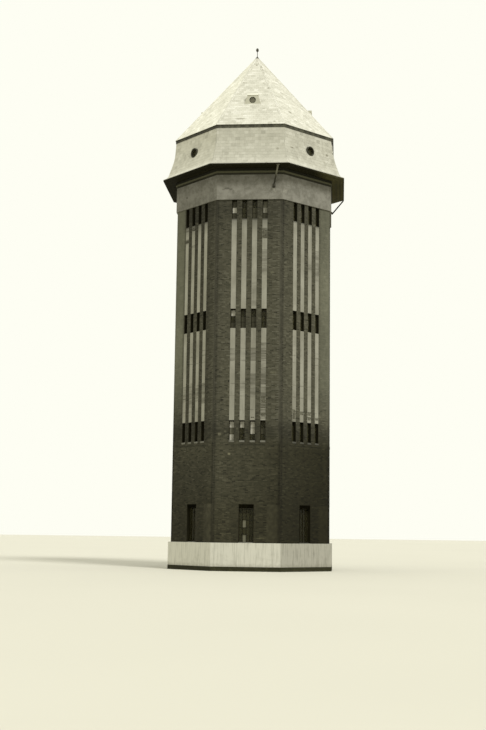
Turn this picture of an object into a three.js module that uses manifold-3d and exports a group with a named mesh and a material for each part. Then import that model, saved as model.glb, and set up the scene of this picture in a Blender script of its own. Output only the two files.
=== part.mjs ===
// Octagonal brick water tower: a tall shaft with slit windows in plastered strips, an
// overhanging tank house with a flared skirt and portholes, and an eight-sided pyramid roof.
// Millimetres, +Z up. The origin is the centre of the footprint at ground level, and the
// front face looks along -Y.

import * as THREE from 'three';
import { mergeVertices } from 'three/addons/utils/BufferGeometryUtils.js';
import Module from 'manifold-3d';

// Driving dimensions of the octagon
const FACES = 8;
const SHAFT_SIDE = 4600;
const HALF_TURN_PER_FACE = Math.PI / FACES;
const SHAFT_APOTHEM = SHAFT_SIDE / 2 / Math.tan(HALF_TURN_PER_FACE);
const FACE_NAMES = [
  'front', 'front_right', 'right', 'back_right', 'back', 'back_left', 'left', 'front_left',
];

// Clearance kept where two pieces meet
const SEAT = 0.3;
const MITRE_CUT = SEAT / 2 / Math.cos(HALF_TURN_PER_FACE);

// Heights above the ground
const BASE_TOP = 300;
const PLINTH_TOP = 1890;
const GROUND_WINDOW_HEAD = 4490;
const LOW_SILL = 8790;
const LOW_HEAD = 10200;
const MIDDLE_SILL = 16580;
const MIDDLE_HEAD = 17960;
const TOP_SILL = 24360;
const FRIEZE_BOTTOM = 25740;
const FRIEZE_TOP = 27530;
const SOFFIT_BOTTOM = 27990;
const SOFFIT_TOP = 28070;
const DRUM_TOP = 31150;
const ROOF_EAVE = 31190;
const ROOF_APEX = 38560;
const BALL_CENTRE = 39100;
const FINIAL_TOP = 39250;

// Walls, in order from the weather side inwards
const BASE_APOTHEM = SHAFT_APOTHEM + 195;
const PLINTH_APOTHEM = SHAFT_APOTHEM + 188;
const FACING_THICKNESS = 250;
const WALL_THICKNESS = 620;
const FACING_BACK = SHAFT_APOTHEM - FACING_THICKNESS;
const ROOM_APOTHEM = SHAFT_APOTHEM - WALL_THICKNESS;

// Slit windows and plastered strips, four to a face
const STRIPS = 4;
const STRIP_WIDTH = 357;
const STRIP_PITCH = 716;
const PLASTER_REVEAL = 10;
const SILL_HEIGHT = 100;
const SILL_PROJECTION = 30;
const GROUND_WINDOW_WIDTH = 1030;
const GLASS_REBATE = 30;
const GLASS_THICKNESS = 12;
const CUT_PAST = 10;

// Floors
const GROUND_FLOOR_THICKNESS = 280;
const LANDING_THICKNESS = 200;
const LANDING_BELOW_SILL = 1100;
const TANK_FLOOR_THICKNESS = 180;

// Frieze, cornice and soffit
const FRIEZE_APOTHEM = SHAFT_APOTHEM + 86;
const CORNICE_NECK = SHAFT_APOTHEM + 37;
const CORNICE_BAND = SHAFT_APOTHEM + 147;
const CORNICE_WALL = SHAFT_APOTHEM + 97;
const CORNICE_BAND_BOTTOM = FRIEZE_TOP + 130;
const CORNICE_BAND_TOP = FRIEZE_TOP + 260;
const CORNICE_CHAMFER = 20;
const SOFFIT_APOTHEM = 6600;

// Tank house cladding: apothem and height of its outer face, from the drip edge up
const DRUM_SKIN = 100;
const SKIRT = [
  [6280, 28260],
  [6205, 28520],
  [6120, 28780],
  [5990, 29155],
  [5882, 29545],
  [5815, 29900],
];
const DRUM_SHOULDER = [5790, 30150];
const DRUM_WALL_APOTHEM = 5745;
const DRUM_WALL_FOOT = 30900;
const DRIP_HEIGHT = 30;
const PORTHOLE_HEIGHT = 29640;
const PORTHOLE_RADIUS = 355;
const PORTHOLE_GLASS_RADIUS = 285;
const PORTHOLE_FRONT = 5950;
const PORTHOLE_BACK = 5710;
const PORTHOLE_GLASS = 5755;
const PORTHOLE_SIDES = 24;

// Eave, roof, dormers and finial
const FASCIA_HEIGHT = 210;
const FASCIA_APOTHEM = 5775;
const ROOF_APOTHEM = 5785;
const ROOF_THICKNESS = 120;
const ROOF_RISE = ROOF_APEX - ROOF_EAVE;
const ROOF_SLOPE = ROOF_RISE / ROOF_APOTHEM;
const ROOF_TOP_APOTHEM = 150;
const ROOF_VENT_APOTHEM = 40;
const CAP_APOTHEM = 165;
const CAP_TIP_APOTHEM = 25;
const CAP_HEIGHT = 210;
const DORMER_FRONT = 4150;
const DORMER_BOTTOM = 33225;
const DORMER_TOP = 33935;
const DORMER_BOTTOM_WIDTH = 1230;
const DORMER_TOP_WIDTH = 745;
const DORMER_DEPTH = 900;
const DORMER_HOLE_RADIUS = 210;
const DORMER_HOLE_HEIGHT = 33575;
const DORMER_HOLE_DEPTH = 140;
const DORMER_LID_THICKNESS = 140;
const DORMER_LID_OVERHANG = 20;
const ROD_RADIUS = 24;
const BALL_RADIUS = 105;
const BALL_HALF_HEIGHT = FINIAL_TOP - BALL_CENTRE;
const BALL_RINGS = 8;
const ROUND_SIDES = 16;

// Fittings under the tank house
const STRUT_RADIUS = 60;
const STRUT_SIDES = 8;
const BRACKET_HEAD = [2006, 6515];
const BRACKET_FOOT = [1686, 26700];
const BRACKET_PLATE = { width: 200, depth: 40, height: 280, rim: 15 };
const INSULATOR_RADIUS = 70;
const INSULATOR_LENGTH = 190;
const STAY_RADIUS = 48;
const STAY_HEAD_APOTHEM = 6560;
const STAY_FOOT_HEIGHT = 26800;
const STAY_CORNER = 2;

const wasm = await Module();
wasm.setup();

const tower = new THREE.Group();

// Finishes
function finish(color, roughness, metalness = 0) {
  return { color, roughness, metalness };
}

const FINISHES = {
  tarredMasonry: finish(0x33312b, 0.95),
  limewash: finish(0xcfccba, 0.9),
  brick: finish(0x55503f, 0.95),
  plaster: finish(0x9a9786, 0.95),
  frieze: finish(0x7c796a, 0.95),
  board: finish(0x2b281d, 0.9),
  cladding: finish(0xd2d0bf, 0.7),
  roofing: finish(0xe6e4d6, 0.65),
  fascia: finish(0x56503f, 0.6, 0.3),
  ironwork: finish(0x4b4a42, 0.55, 0.7),
  glass: finish(0x20221f, 0.1),
  concrete: finish(0x8a887f, 0.95),
};

// Adds one named piece to the tower, turned to one of the eight faces
function place(name, geometry, look, face = 0) {
  const mesh = new THREE.Mesh(geometry, new THREE.MeshStandardMaterial(look));
  mesh.name = name;
  mesh.rotation.z = face * 2 * HALF_TURN_PER_FACE;
  tower.add(mesh);
}

// Closed solid from a geometry, for cutting and joining
function solidOf(geometry) {
  const bare = geometry.clone();
  bare.deleteAttribute('normal');
  bare.deleteAttribute('uv');
  const merged = mergeVertices(bare, 1e-3);
  const triangles = [];
  for (let i = 0; i < merged.index.count; i += 3) {
    const [a, b, c] = [0, 1, 2].map((k) => merged.index.getX(i + k));
    if (a !== b && b !== c && c !== a) triangles.push(a, b, c);
  }
  const mesh = new wasm.Mesh({
    numProp: 3,
    vertProperties: new Float32Array(merged.attributes.position.array),
    triVerts: new Uint32Array(triangles),
  });
  return new wasm.Manifold(mesh);
}

function geometryOf(solid) {
  const mesh = solid.getMesh();
  const geometry = new THREE.BufferGeometry();
  geometry.setAttribute('position', new THREE.BufferAttribute(mesh.vertProperties, 3));
  geometry.setIndex(new THREE.BufferAttribute(mesh.triVerts, 1));
  return geometry;
}

function joined(solids) {
  return solids.reduce((whole, solid) => whole.add(solid));
}

function cutBy(solid, cutters) {
  return cutters.reduce((rest, cutter) => rest.subtract(cutter), solid);
}

// Ring or spire around the tower's axis, from its closed profile of [apothem, height] points
function octagonRing(profile) {
  const points = [...profile, profile[0]].map(
    ([apothem, height]) => new THREE.Vector2(apothem / Math.cos(HALF_TURN_PER_FACE), height),
  );
  const lathe = new THREE.LatheGeometry(points, FACES, HALF_TURN_PER_FACE);
  lathe.rotateX(Math.PI / 2);
  return geometryOf(solidOf(lathe));
}

// Ring of plain rectangular section
function bandRing(inner, outer, bottom, top) {
  return octagonRing([[inner, bottom], [outer, bottom], [outer, top], [inner, top]]);
}

// Octagonal slab
function octagonSlab(apothem, bottom, top) {
  const radius = apothem / Math.cos(HALF_TURN_PER_FACE);
  const outline = new THREE.Shape();
  for (let i = 0; i < FACES; i += 1) {
    const angle = (2 * i + 1) * HALF_TURN_PER_FACE;
    const corner = [radius * Math.cos(angle), radius * Math.sin(angle)];
    if (i === 0) outline.moveTo(...corner);
    else outline.lineTo(...corner);
  }
  outline.closePath();
  const slab = new THREE.ExtrudeGeometry(outline, { depth: top - bottom, bevelEnabled: false });
  slab.translate(0, 0, bottom);
  return slab;
}

// Turned piece about the vertical axis, from a profile that starts and ends on the axis
function turned(profile, sides) {
  const points = profile.map(([radius, height]) => new THREE.Vector2(radius, height));
  const lathe = new THREE.LatheGeometry(points, sides);
  lathe.rotateX(Math.PI / 2);
  return solidOf(lathe);
}

// Block on the front face: width about the centre line, apothems, heights
function frontBlock(centre, width, inner, outer, bottom, top) {
  const block = new THREE.BoxGeometry(width, outer - inner, top - bottom);
  block.translate(centre, -(inner + outer) / 2, (bottom + top) / 2);
  return solidOf(block);
}

// Round bar between two points
function bar(start, end, radius, sides) {
  const from = new THREE.Vector3(...start);
  const along = new THREE.Vector3(...end).sub(from);
  const cylinder = new THREE.CylinderGeometry(radius, radius, along.length(), sides);
  const turn = new THREE.Quaternion().setFromUnitVectors(
    new THREE.Vector3(0, 1, 0),
    along.clone().normalize(),
  );
  cylinder.applyQuaternion(turn);
  cylinder.translate(...from.addScaledVector(along, 0.5).toArray());
  return solidOf(cylinder);
}

// Wall slab of one face, mitred at both corners of the octagon
function mitredWall(inner, outer, bottom, top) {
  const halfWidth = (apothem) => apothem * Math.tan(HALF_TURN_PER_FACE) - MITRE_CUT;
  const plan = new THREE.Shape([
    new THREE.Vector2(-halfWidth(outer), -outer),
    new THREE.Vector2(halfWidth(outer), -outer),
    new THREE.Vector2(halfWidth(inner), -inner),
    new THREE.Vector2(-halfWidth(inner), -inner),
  ]);
  const wall = new THREE.ExtrudeGeometry(plan, { depth: top - bottom, bevelEnabled: false });
  wall.translate(0, 0, bottom);
  return solidOf(wall);
}

function stripCentres() {
  return Array.from({ length: STRIPS }, (_, i) => (i - (STRIPS - 1) / 2) * STRIP_PITCH);
}

// Base course, plinth and the floor inside them
function buildBase() {
  place(
    'base_course',
    bandRing(ROOM_APOTHEM, BASE_APOTHEM, 0, BASE_TOP),
    FINISHES.tarredMasonry,
  );
  place(
    'plinth',
    bandRing(ROOM_APOTHEM, PLINTH_APOTHEM, BASE_TOP + SEAT, PLINTH_TOP),
    FINISHES.limewash,
  );
  place(
    'ground_floor',
    octagonSlab(ROOM_APOTHEM - SEAT, 0, GROUND_FLOOR_THICKNESS),
    FINISHES.concrete,
  );
}

// Outer brick leaf: tall slots between its piers, and the ground window below them
function brickFacing() {
  const wall = mitredWall(FACING_BACK, SHAFT_APOTHEM, PLINTH_TOP + SEAT, FRIEZE_BOTTOM);
  const inner = FACING_BACK - CUT_PAST;
  const outer = SHAFT_APOTHEM + CUT_PAST;
  const slots = stripCentres().map((centre) => frontBlock(
    centre, STRIP_WIDTH, inner, outer, LOW_SILL - SILL_HEIGHT, FRIEZE_BOTTOM + CUT_PAST,
  ));
  const window = frontBlock(
    0, GROUND_WINDOW_WIDTH, inner, outer, PLINTH_TOP - CUT_PAST, GROUND_WINDOW_HEAD,
  );
  return geometryOf(cutBy(wall, [...slots, window]));
}

// Plastered strips and sills that stand in the slots of the brick leaf
function plasterRibs() {
  const back = FACING_BACK - CUT_PAST;
  const face = SHAFT_APOTHEM - PLASTER_REVEAL;
  const width = STRIP_WIDTH - 2 * SEAT;
  return stripCentres().flatMap((centre) => [
    frontBlock(centre, width, back, face, LOW_HEAD, MIDDLE_SILL),
    frontBlock(centre, width, back, face, MIDDLE_HEAD, TOP_SILL),
    frontBlock(
      centre, width, back, SHAFT_APOTHEM + SILL_PROJECTION, LOW_SILL - SILL_HEIGHT + SEAT, LOW_SILL,
    ),
  ]);
}

// Inner leaf, with the plastered strips on its outer side and every window cut through
function infillWall() {
  const bottom = PLINTH_TOP + SEAT;
  const top = FRIEZE_BOTTOM;
  const leaf = mitredWall(ROOM_APOTHEM, FACING_BACK - SEAT, bottom, top);
  const rows = [[LOW_SILL, LOW_HEAD], [MIDDLE_SILL, MIDDLE_HEAD], [TOP_SILL, top + CUT_PAST]];
  const groundRow = [PLINTH_TOP - CUT_PAST, GROUND_WINDOW_HEAD];
  const inner = ROOM_APOTHEM - CUT_PAST;
  const slits = rows.flatMap(([sill, head]) => stripCentres().map(
    (centre) => frontBlock(centre, STRIP_WIDTH, inner, FACING_BACK, sill, head),
  ));
  const window = frontBlock(0, GROUND_WINDOW_WIDTH, inner, FACING_BACK, ...groundRow);
  const rebates = [...rows, groundRow].map(([sill, head]) => frontBlock(
    0, SHAFT_SIDE + CUT_PAST, FACING_BACK - GLASS_REBATE, FACING_BACK, sill, head,
  ));
  const wall = joined([leaf, ...plasterRibs()]);
  return geometryOf(cutBy(wall, [...slits, window, ...rebates]));
}

function buildShaft() {
  const facing = brickFacing();
  const infill = infillWall();
  FACE_NAMES.forEach((faceName, face) => {
    place(`brick_facing_${faceName}`, facing, FINISHES.brick, face);
    place(`infill_wall_${faceName}`, infill, FINISHES.plaster, face);
  });
}

// One continuous sheet of glass for each window row, in the rebate between the leaves
function buildGlazing() {
  const inner = FACING_BACK - (GLASS_REBATE + GLASS_THICKNESS) / 2;
  const rows = {
    ground: [PLINTH_TOP, GROUND_WINDOW_HEAD],
    low: [LOW_SILL, LOW_HEAD],
    middle: [MIDDLE_SILL, MIDDLE_HEAD],
    top: [TOP_SILL, FRIEZE_BOTTOM],
  };
  Object.entries(rows).forEach(([row, [sill, head]]) => {
    const sheet = bandRing(inner, inner + GLASS_THICKNESS, sill + SEAT, head - SEAT);
    place(`glazing_${row}`, sheet, FINISHES.glass);
  });
}

function buildLandings() {
  const sills = { low: LOW_SILL, middle: MIDDLE_SILL, top: TOP_SILL };
  Object.entries(sills).forEach(([row, sill]) => {
    const top = sill - LANDING_BELOW_SILL;
    const slab = octagonSlab(ROOM_APOTHEM - SEAT, top - LANDING_THICKNESS, top);
    place(`landing_${row}`, slab, FINISHES.concrete);
  });
}

// Frieze, cornice, boarded soffit and the floor that the tank house stands on
function buildHead() {
  place(
    'frieze',
    bandRing(ROOM_APOTHEM, FRIEZE_APOTHEM, FRIEZE_BOTTOM + SEAT, FRIEZE_TOP),
    FINISHES.frieze,
  );
  const cornice = octagonRing([
    [ROOM_APOTHEM, FRIEZE_TOP + SEAT],
    [CORNICE_NECK, FRIEZE_TOP + SEAT],
    [CORNICE_NECK, CORNICE_BAND_BOTTOM - CORNICE_CHAMFER],
    [CORNICE_BAND, CORNICE_BAND_BOTTOM],
    [CORNICE_BAND, CORNICE_BAND_TOP - CORNICE_CHAMFER],
    [CORNICE_WALL, CORNICE_BAND_TOP],
    [CORNICE_WALL, SOFFIT_TOP],
    [ROOM_APOTHEM, SOFFIT_TOP],
  ]);
  place('cornice', cornice, FINISHES.frieze);
  place(
    'soffit',
    bandRing(CORNICE_WALL + SEAT, SOFFIT_APOTHEM, SOFFIT_BOTTOM, SOFFIT_TOP),
    FINISHES.board,
  );
  const floorBottom = SOFFIT_TOP + SEAT;
  place(
    'tank_floor',
    octagonSlab(SKIRT[0][0] - DRUM_SKIN - SEAT, floorBottom, floorBottom + TANK_FLOOR_THICKNESS),
    FINISHES.concrete,
  );
}

// Cladding of the tank house: a drip edge, the flared skirt and the upright wall
function drumShell() {
  const foot = SOFFIT_TOP + SEAT;
  const outer = [...SKIRT, DRUM_SHOULDER, [DRUM_WALL_APOTHEM, DRUM_WALL_FOOT]];
  const top = DRUM_TOP;
  const inner = outer.map(([apothem, height]) => [apothem - DRUM_SKIN, height]).reverse();
  return octagonRing([
    [SOFFIT_APOTHEM, foot],
    [SOFFIT_APOTHEM, foot + DRIP_HEIGHT],
    ...outer,
    [DRUM_WALL_APOTHEM, top],
    [DRUM_WALL_APOTHEM - DRUM_SKIN, top],
    ...inner,
    [SKIRT[0][0] - DRUM_SKIN, foot],
  ]);
}

// Round bar pointing out of the face with the given number, for cutting and for windows
function radialPlug(radius, inner, outer, height, face, sides) {
  const angle = face * 2 * HALF_TURN_PER_FACE;
  const at = (apothem) => [apothem * Math.sin(angle), -apothem * Math.cos(angle), height];
  return bar(at(inner), at(outer), radius, sides);
}

function buildDrum() {
  const faces = FACE_NAMES.map((_, face) => face).filter((face) => face % 2 === 1);
  const reach = [DRUM_WALL_APOTHEM - 2 * DRUM_SKIN, DRUM_WALL_APOTHEM + 3 * DRUM_SKIN];
  const holes = faces.map((face) => radialPlug(
    PORTHOLE_RADIUS, ...reach, PORTHOLE_HEIGHT, face, PORTHOLE_SIDES,
  ));
  place('drum', geometryOf(cutBy(solidOf(drumShell()), holes)), FINISHES.cladding);
  const frame = radialPlug(
    PORTHOLE_RADIUS - SEAT, PORTHOLE_BACK, PORTHOLE_FRONT, PORTHOLE_HEIGHT, 0, PORTHOLE_SIDES,
  );
  const recess = (inner, outer) => radialPlug(
    PORTHOLE_GLASS_RADIUS, inner, outer, PORTHOLE_HEIGHT, 0, PORTHOLE_SIDES,
  );
  const window = cutBy(frame, [
    recess(PORTHOLE_BACK - CUT_PAST, PORTHOLE_GLASS - GLASS_THICKNESS / 2),
    recess(PORTHOLE_GLASS + GLASS_THICKNESS / 2, PORTHOLE_FRONT + CUT_PAST),
  ]);
  faces.forEach((face) => {
    place(`porthole_${FACE_NAMES[face]}`, geometryOf(window), FINISHES.fascia, face);
  });
}

// Roof shell with an eave fascia below it and a metal cap over its open top
function buildRoof() {
  place(
    'eave_fascia',
    bandRing(DRUM_WALL_APOTHEM + SEAT, FASCIA_APOTHEM, DRUM_TOP - FASCIA_HEIGHT, DRUM_TOP),
    FINISHES.fascia,
  );
  const drop = ROOF_THICKNESS * Math.hypot(1, ROOF_SLOPE);
  const eaveUnderside = DRUM_TOP + SEAT;
  const outside = (apothem) => ROOF_APEX - ROOF_SLOPE * apothem;
  const inside = (apothem) => outside(apothem) - drop;
  const roof = octagonRing([
    [ROOF_APOTHEM, eaveUnderside],
    [ROOF_APOTHEM, ROOF_EAVE],
    [ROOF_TOP_APOTHEM, outside(ROOF_TOP_APOTHEM)],
    [ROOF_VENT_APOTHEM, outside(ROOF_TOP_APOTHEM)],
    [ROOF_VENT_APOTHEM, inside(ROOF_VENT_APOTHEM)],
    [(ROOF_APEX - drop - eaveUnderside) / ROOF_SLOPE, eaveUnderside],
  ]);
  place('roof', roof, FINISHES.roofing);
  const capFoot = outside(ROOF_TOP_APOTHEM) + SEAT;
  const cap = new THREE.CylinderGeometry(
    CAP_TIP_APOTHEM / Math.cos(HALF_TURN_PER_FACE),
    CAP_APOTHEM / Math.cos(HALF_TURN_PER_FACE),
    CAP_HEIGHT, FACES, 1, false, HALF_TURN_PER_FACE,
  );
  cap.rotateX(Math.PI / 2);
  cap.translate(0, 0, capFoot + CAP_HEIGHT / 2);
  place('roof_cap', geometryOf(solidOf(cap)), FINISHES.fascia);
  buildFinial(capFoot + CAP_HEIGHT + SEAT);
}

// Rod and tall ball above the cap
function buildFinial(foot) {
  const ball = Array.from({ length: BALL_RINGS - 1 }, (_, i) => {
    const angle = ((i + 1) / BALL_RINGS - 0.5) * Math.PI;
    return [BALL_RADIUS * Math.cos(angle), BALL_CENTRE + BALL_HALF_HEIGHT * Math.sin(angle)];
  });
  const profile = [
    [0, foot],
    [ROD_RADIUS, foot],
    [ROD_RADIUS, BALL_CENTRE - BALL_HALF_HEIGHT],
    ...ball,
    [0, FINIAL_TOP],
  ];
  place('finial', geometryOf(turned(profile, ROUND_SIDES)), FINISHES.ironwork);
}

// Everything inside the roof's outer planes, a seat's width larger, to trim the dormers
function roofBody() {
  const apex = ROOF_APEX + 2 * SEAT;
  const foot = ROOF_EAVE;
  const radius = (apex - foot) / ROOF_SLOPE / Math.cos(HALF_TURN_PER_FACE);
  const cone = new THREE.ConeGeometry(
    radius, apex - foot, FACES, 1, false, HALF_TURN_PER_FACE,
  );
  cone.rotateX(Math.PI / 2);
  cone.translate(0, 0, (apex + foot) / 2);
  return solidOf(cone);
}

// Small dormer with sloping cheeks, a flat lid and a round opening in its front
function buildDormers() {
  const outline = new THREE.Shape([
    new THREE.Vector2(-DORMER_BOTTOM_WIDTH / 2, DORMER_BOTTOM),
    new THREE.Vector2(DORMER_BOTTOM_WIDTH / 2, DORMER_BOTTOM),
    new THREE.Vector2(DORMER_TOP_WIDTH / 2, DORMER_TOP),
    new THREE.Vector2(-DORMER_TOP_WIDTH / 2, DORMER_TOP),
  ]);
  const housing = new THREE.ExtrudeGeometry(outline, { depth: DORMER_DEPTH, bevelEnabled: false });
  housing.rotateX(Math.PI / 2);
  housing.translate(0, DORMER_DEPTH - DORMER_FRONT, 0);
  const lid = frontBlock(
    0, DORMER_TOP_WIDTH + 2 * DORMER_LID_OVERHANG, DORMER_FRONT - DORMER_DEPTH,
    DORMER_FRONT + DORMER_LID_OVERHANG, DORMER_TOP - CUT_PAST, DORMER_TOP + DORMER_LID_THICKNESS,
  );
  const hole = radialPlug(
    DORMER_HOLE_RADIUS, DORMER_FRONT - DORMER_HOLE_DEPTH, DORMER_FRONT + CUT_PAST,
    DORMER_HOLE_HEIGHT, 0, PORTHOLE_SIDES,
  );
  const dormer = geometryOf(cutBy(joined([solidOf(housing), lid]), [hole, roofBody()]));
  FACE_NAMES.forEach((faceName, face) => {
    if (face % 2 === 0) place(`dormer_${faceName}`, dormer, FINISHES.cladding, face);
  });
}

// Strut from the soffit's edge to the frieze, with a wall plate and an insulator at its foot
function buildBracket() {
  const [headX, headApothem] = BRACKET_HEAD;
  const [footX, footHeight] = BRACKET_FOOT;
  const plateBack = FRIEZE_APOTHEM + SEAT;
  const plateFront = plateBack + BRACKET_PLATE.depth;
  const headTop = SOFFIT_BOTTOM - SEAT;
  const strut = bar(
    [headX, -headApothem, headTop - BRACKET_PLATE.depth],
    [footX, -plateFront - BRACKET_PLATE.depth / 2, footHeight],
    STRUT_RADIUS, STRUT_SIDES,
  );
  const wallPlate = frontBlock(
    footX, BRACKET_PLATE.width, plateBack, plateFront,
    footHeight - BRACKET_PLATE.height / 2, footHeight + BRACKET_PLATE.height / 2,
  );
  const headReach = STRUT_RADIUS + BRACKET_PLATE.rim;
  const headPlate = frontBlock(
    headX, BRACKET_PLATE.width, headApothem - headReach, headApothem + headReach,
    headTop - BRACKET_PLATE.depth, headTop,
  );
  const insulator = bar(
    [footX, -plateFront + CUT_PAST, footHeight],
    [footX, -plateFront - INSULATOR_LENGTH, footHeight],
    INSULATOR_RADIUS, ROUND_SIDES,
  );
  const bracket = joined([strut, wallPlate, headPlate, insulator]);
  place('wire_bracket', geometryOf(bracket), FINISHES.ironwork);
}

// Rod from a corner of the soffit down to the same corner of the frieze
function buildCornerStay() {
  const angle = (2 * STAY_CORNER + 1) * HALF_TURN_PER_FACE;
  const at = (radius, height) => [radius * Math.sin(angle), -radius * Math.cos(angle), height];
  const friezeCorner = FRIEZE_APOTHEM / Math.cos(HALF_TURN_PER_FACE);
  const headRadius = STAY_HEAD_APOTHEM / Math.cos(HALF_TURN_PER_FACE);
  const lean = Math.atan2(headRadius - friezeCorner, SOFFIT_BOTTOM - STAY_FOOT_HEIGHT);
  const rod = bar(
    at(friezeCorner + SEAT + STAY_RADIUS / Math.cos(lean), STAY_FOOT_HEIGHT),
    at(headRadius, SOFFIT_BOTTOM - SEAT - STAY_RADIUS * Math.sin(lean)),
    STAY_RADIUS, STRUT_SIDES,
  );
  place('corner_stay', geometryOf(rod), FINISHES.ironwork);
}

buildBase();
buildShaft();
buildGlazing();
buildLandings();
buildHead();
buildDrum();
buildRoof();
buildDormers();
buildBracket();
buildCornerStay();

export default tower;
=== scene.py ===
"""Looks of the octagonal brick water tower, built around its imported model.

Everything is in metres, +Z up, in the frame of the model. The front face looks along -Y, and
the eight faces are numbered anticlockwise from it, seen from above. Most shapes are made on
the front face, with x along the wall, the apothem as distance from the tower's axis and z as
height, and are then turned to their own face.
"""

from __future__ import annotations

import itertools
import logging
import math
from collections.abc import Iterator, Mapping, Sequence
from dataclasses import dataclass
from enum import Enum
from typing import Any

import bpy
import numpy as np
from mathutils import Matrix, Vector


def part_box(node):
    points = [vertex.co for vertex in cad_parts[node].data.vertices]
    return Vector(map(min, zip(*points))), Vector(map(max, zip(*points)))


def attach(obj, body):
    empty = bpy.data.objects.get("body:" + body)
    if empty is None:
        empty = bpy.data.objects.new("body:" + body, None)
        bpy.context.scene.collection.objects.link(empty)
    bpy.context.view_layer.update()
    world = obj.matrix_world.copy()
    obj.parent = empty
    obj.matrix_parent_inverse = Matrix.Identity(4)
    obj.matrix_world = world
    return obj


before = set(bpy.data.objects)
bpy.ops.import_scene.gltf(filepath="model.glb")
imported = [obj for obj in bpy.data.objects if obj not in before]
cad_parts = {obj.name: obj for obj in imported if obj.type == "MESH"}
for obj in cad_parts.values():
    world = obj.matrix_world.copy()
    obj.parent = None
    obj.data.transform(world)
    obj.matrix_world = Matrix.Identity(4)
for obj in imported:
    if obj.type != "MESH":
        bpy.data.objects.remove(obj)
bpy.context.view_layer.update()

LOG = logging.getLogger("water_tower")

Span = tuple[float, float]
Triple = tuple[float, float, float]
Colour = Sequence[float]
Stops = Sequence[tuple[float, Colour]]

FACES = 8
FACE_ANGLE = 2 * math.pi / FACES
FLARE = math.tan(FACE_ANGLE / 2)
FACE_NAMES = (
    "front", "front_right", "right", "back_right", "back", "back_left", "left", "front_left",
)
FRONT, FRONT_RIGHT, FRONT_LEFT = 0, 1, 7

MID_TONE = 0.5
TONE = "tone"
BAKE_MAP = "OFBake"
SEED = 1907


def span_of(node: str) -> Span:
    """Returns the lowest and the highest point of a CAD node."""
    low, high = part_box(node)
    return low.z, high.z


def apothem_of(node: str) -> float:
    """Returns how far a CAD node of the front face, or an octagonal one, reaches forwards."""
    return -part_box(node)[0].y


WALL = apothem_of("brick_facing_front")
WALL_FOOT, WALL_HEAD = span_of("brick_facing_front")
GLASS = apothem_of("glazing_low")
PLASTER_REVEAL = 0.010
PLASTER = WALL - PLASTER_REVEAL
FRIEZE_STEP = 0.086
FRIEZE = WALL + FRIEZE_STEP
SEAT = 0.0005
OVERLAP = 0.001
SLOT_WIDTH = 0.357
SLOT_PITCH = 0.716
SLOTS = 4
SLOT_FOOT = 8.690
SLOT_CENTRES = (np.arange(SLOTS) - (SLOTS - 1) / 2) * SLOT_PITCH
GROUND_WIDTH = 1.030


class WindowRow(Enum):
    """The rows of windows, each named by the sheet of glass that closes it."""

    GROUND = "glazing_ground"
    LOW = "glazing_low"
    MIDDLE = "glazing_middle"
    TOP = "glazing_top"

    @property
    def sill(self) -> float:
        """Height of the row's lower edge."""
        return span_of(self.value)[0]

    @property
    def head(self) -> float:
        """Height of the row's upper edge."""
        return span_of(self.value)[1]

    @property
    def centres(self) -> np.ndarray:
        """The middle of each opening along a face."""
        return np.zeros(1) if self is WindowRow.GROUND else SLOT_CENTRES

    @property
    def width(self) -> float:
        """Width of each opening."""
        return GROUND_WIDTH if self is WindowRow.GROUND else SLOT_WIDTH


# Shader expressions


class Signal:
    """A shader socket that takes part in Python expressions."""

    def __init__(self, shader: Shader, socket: bpy.types.NodeSocket) -> None:
        """Wraps one output socket of a shader's node tree."""
        self.shader = shader
        self.socket = socket

    def __add__(self, other: Signal | float) -> Signal:
        """Returns the sum."""
        return self.shader.math("ADD", self, other)

    def __sub__(self, other: Signal | float) -> Signal:
        """Returns the difference."""
        return self.shader.math("SUBTRACT", self, other)

    def __rsub__(self, other: Signal | float) -> Signal:
        """Returns a number less this signal."""
        return self.shader.math("SUBTRACT", other, self)

    def __mul__(self, other: Signal | float) -> Signal:
        """Returns the product."""
        return self.shader.math("MULTIPLY", self, other)

    def __abs__(self) -> Signal:
        """Returns the signal without its sign."""
        return self.shader.math("ABSOLUTE", self)

    __radd__ = __add__
    __rmul__ = __mul__

    def ramp(self, start: float, end: float) -> Signal:
        """Returns a smooth step.

        Args:
            start: The value where the step is 0.
            end: The value where it is 1, which may lie below start.

        Returns:
            The step, from 0 to 1.
        """
        settings = {"interpolation_type": "SMOOTHSTEP"}
        sockets = {"Value": self, "From Min": start, "From Max": end}
        return self.shader.signal("ShaderNodeMapRange", settings, sockets, "Result")

    def near(self, centre: float, reach: float) -> Signal:
        """Returns a smooth bump that is 1 at centre and 0 past reach on both sides."""
        return abs(self - centre).ramp(reach, 0.0)


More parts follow.
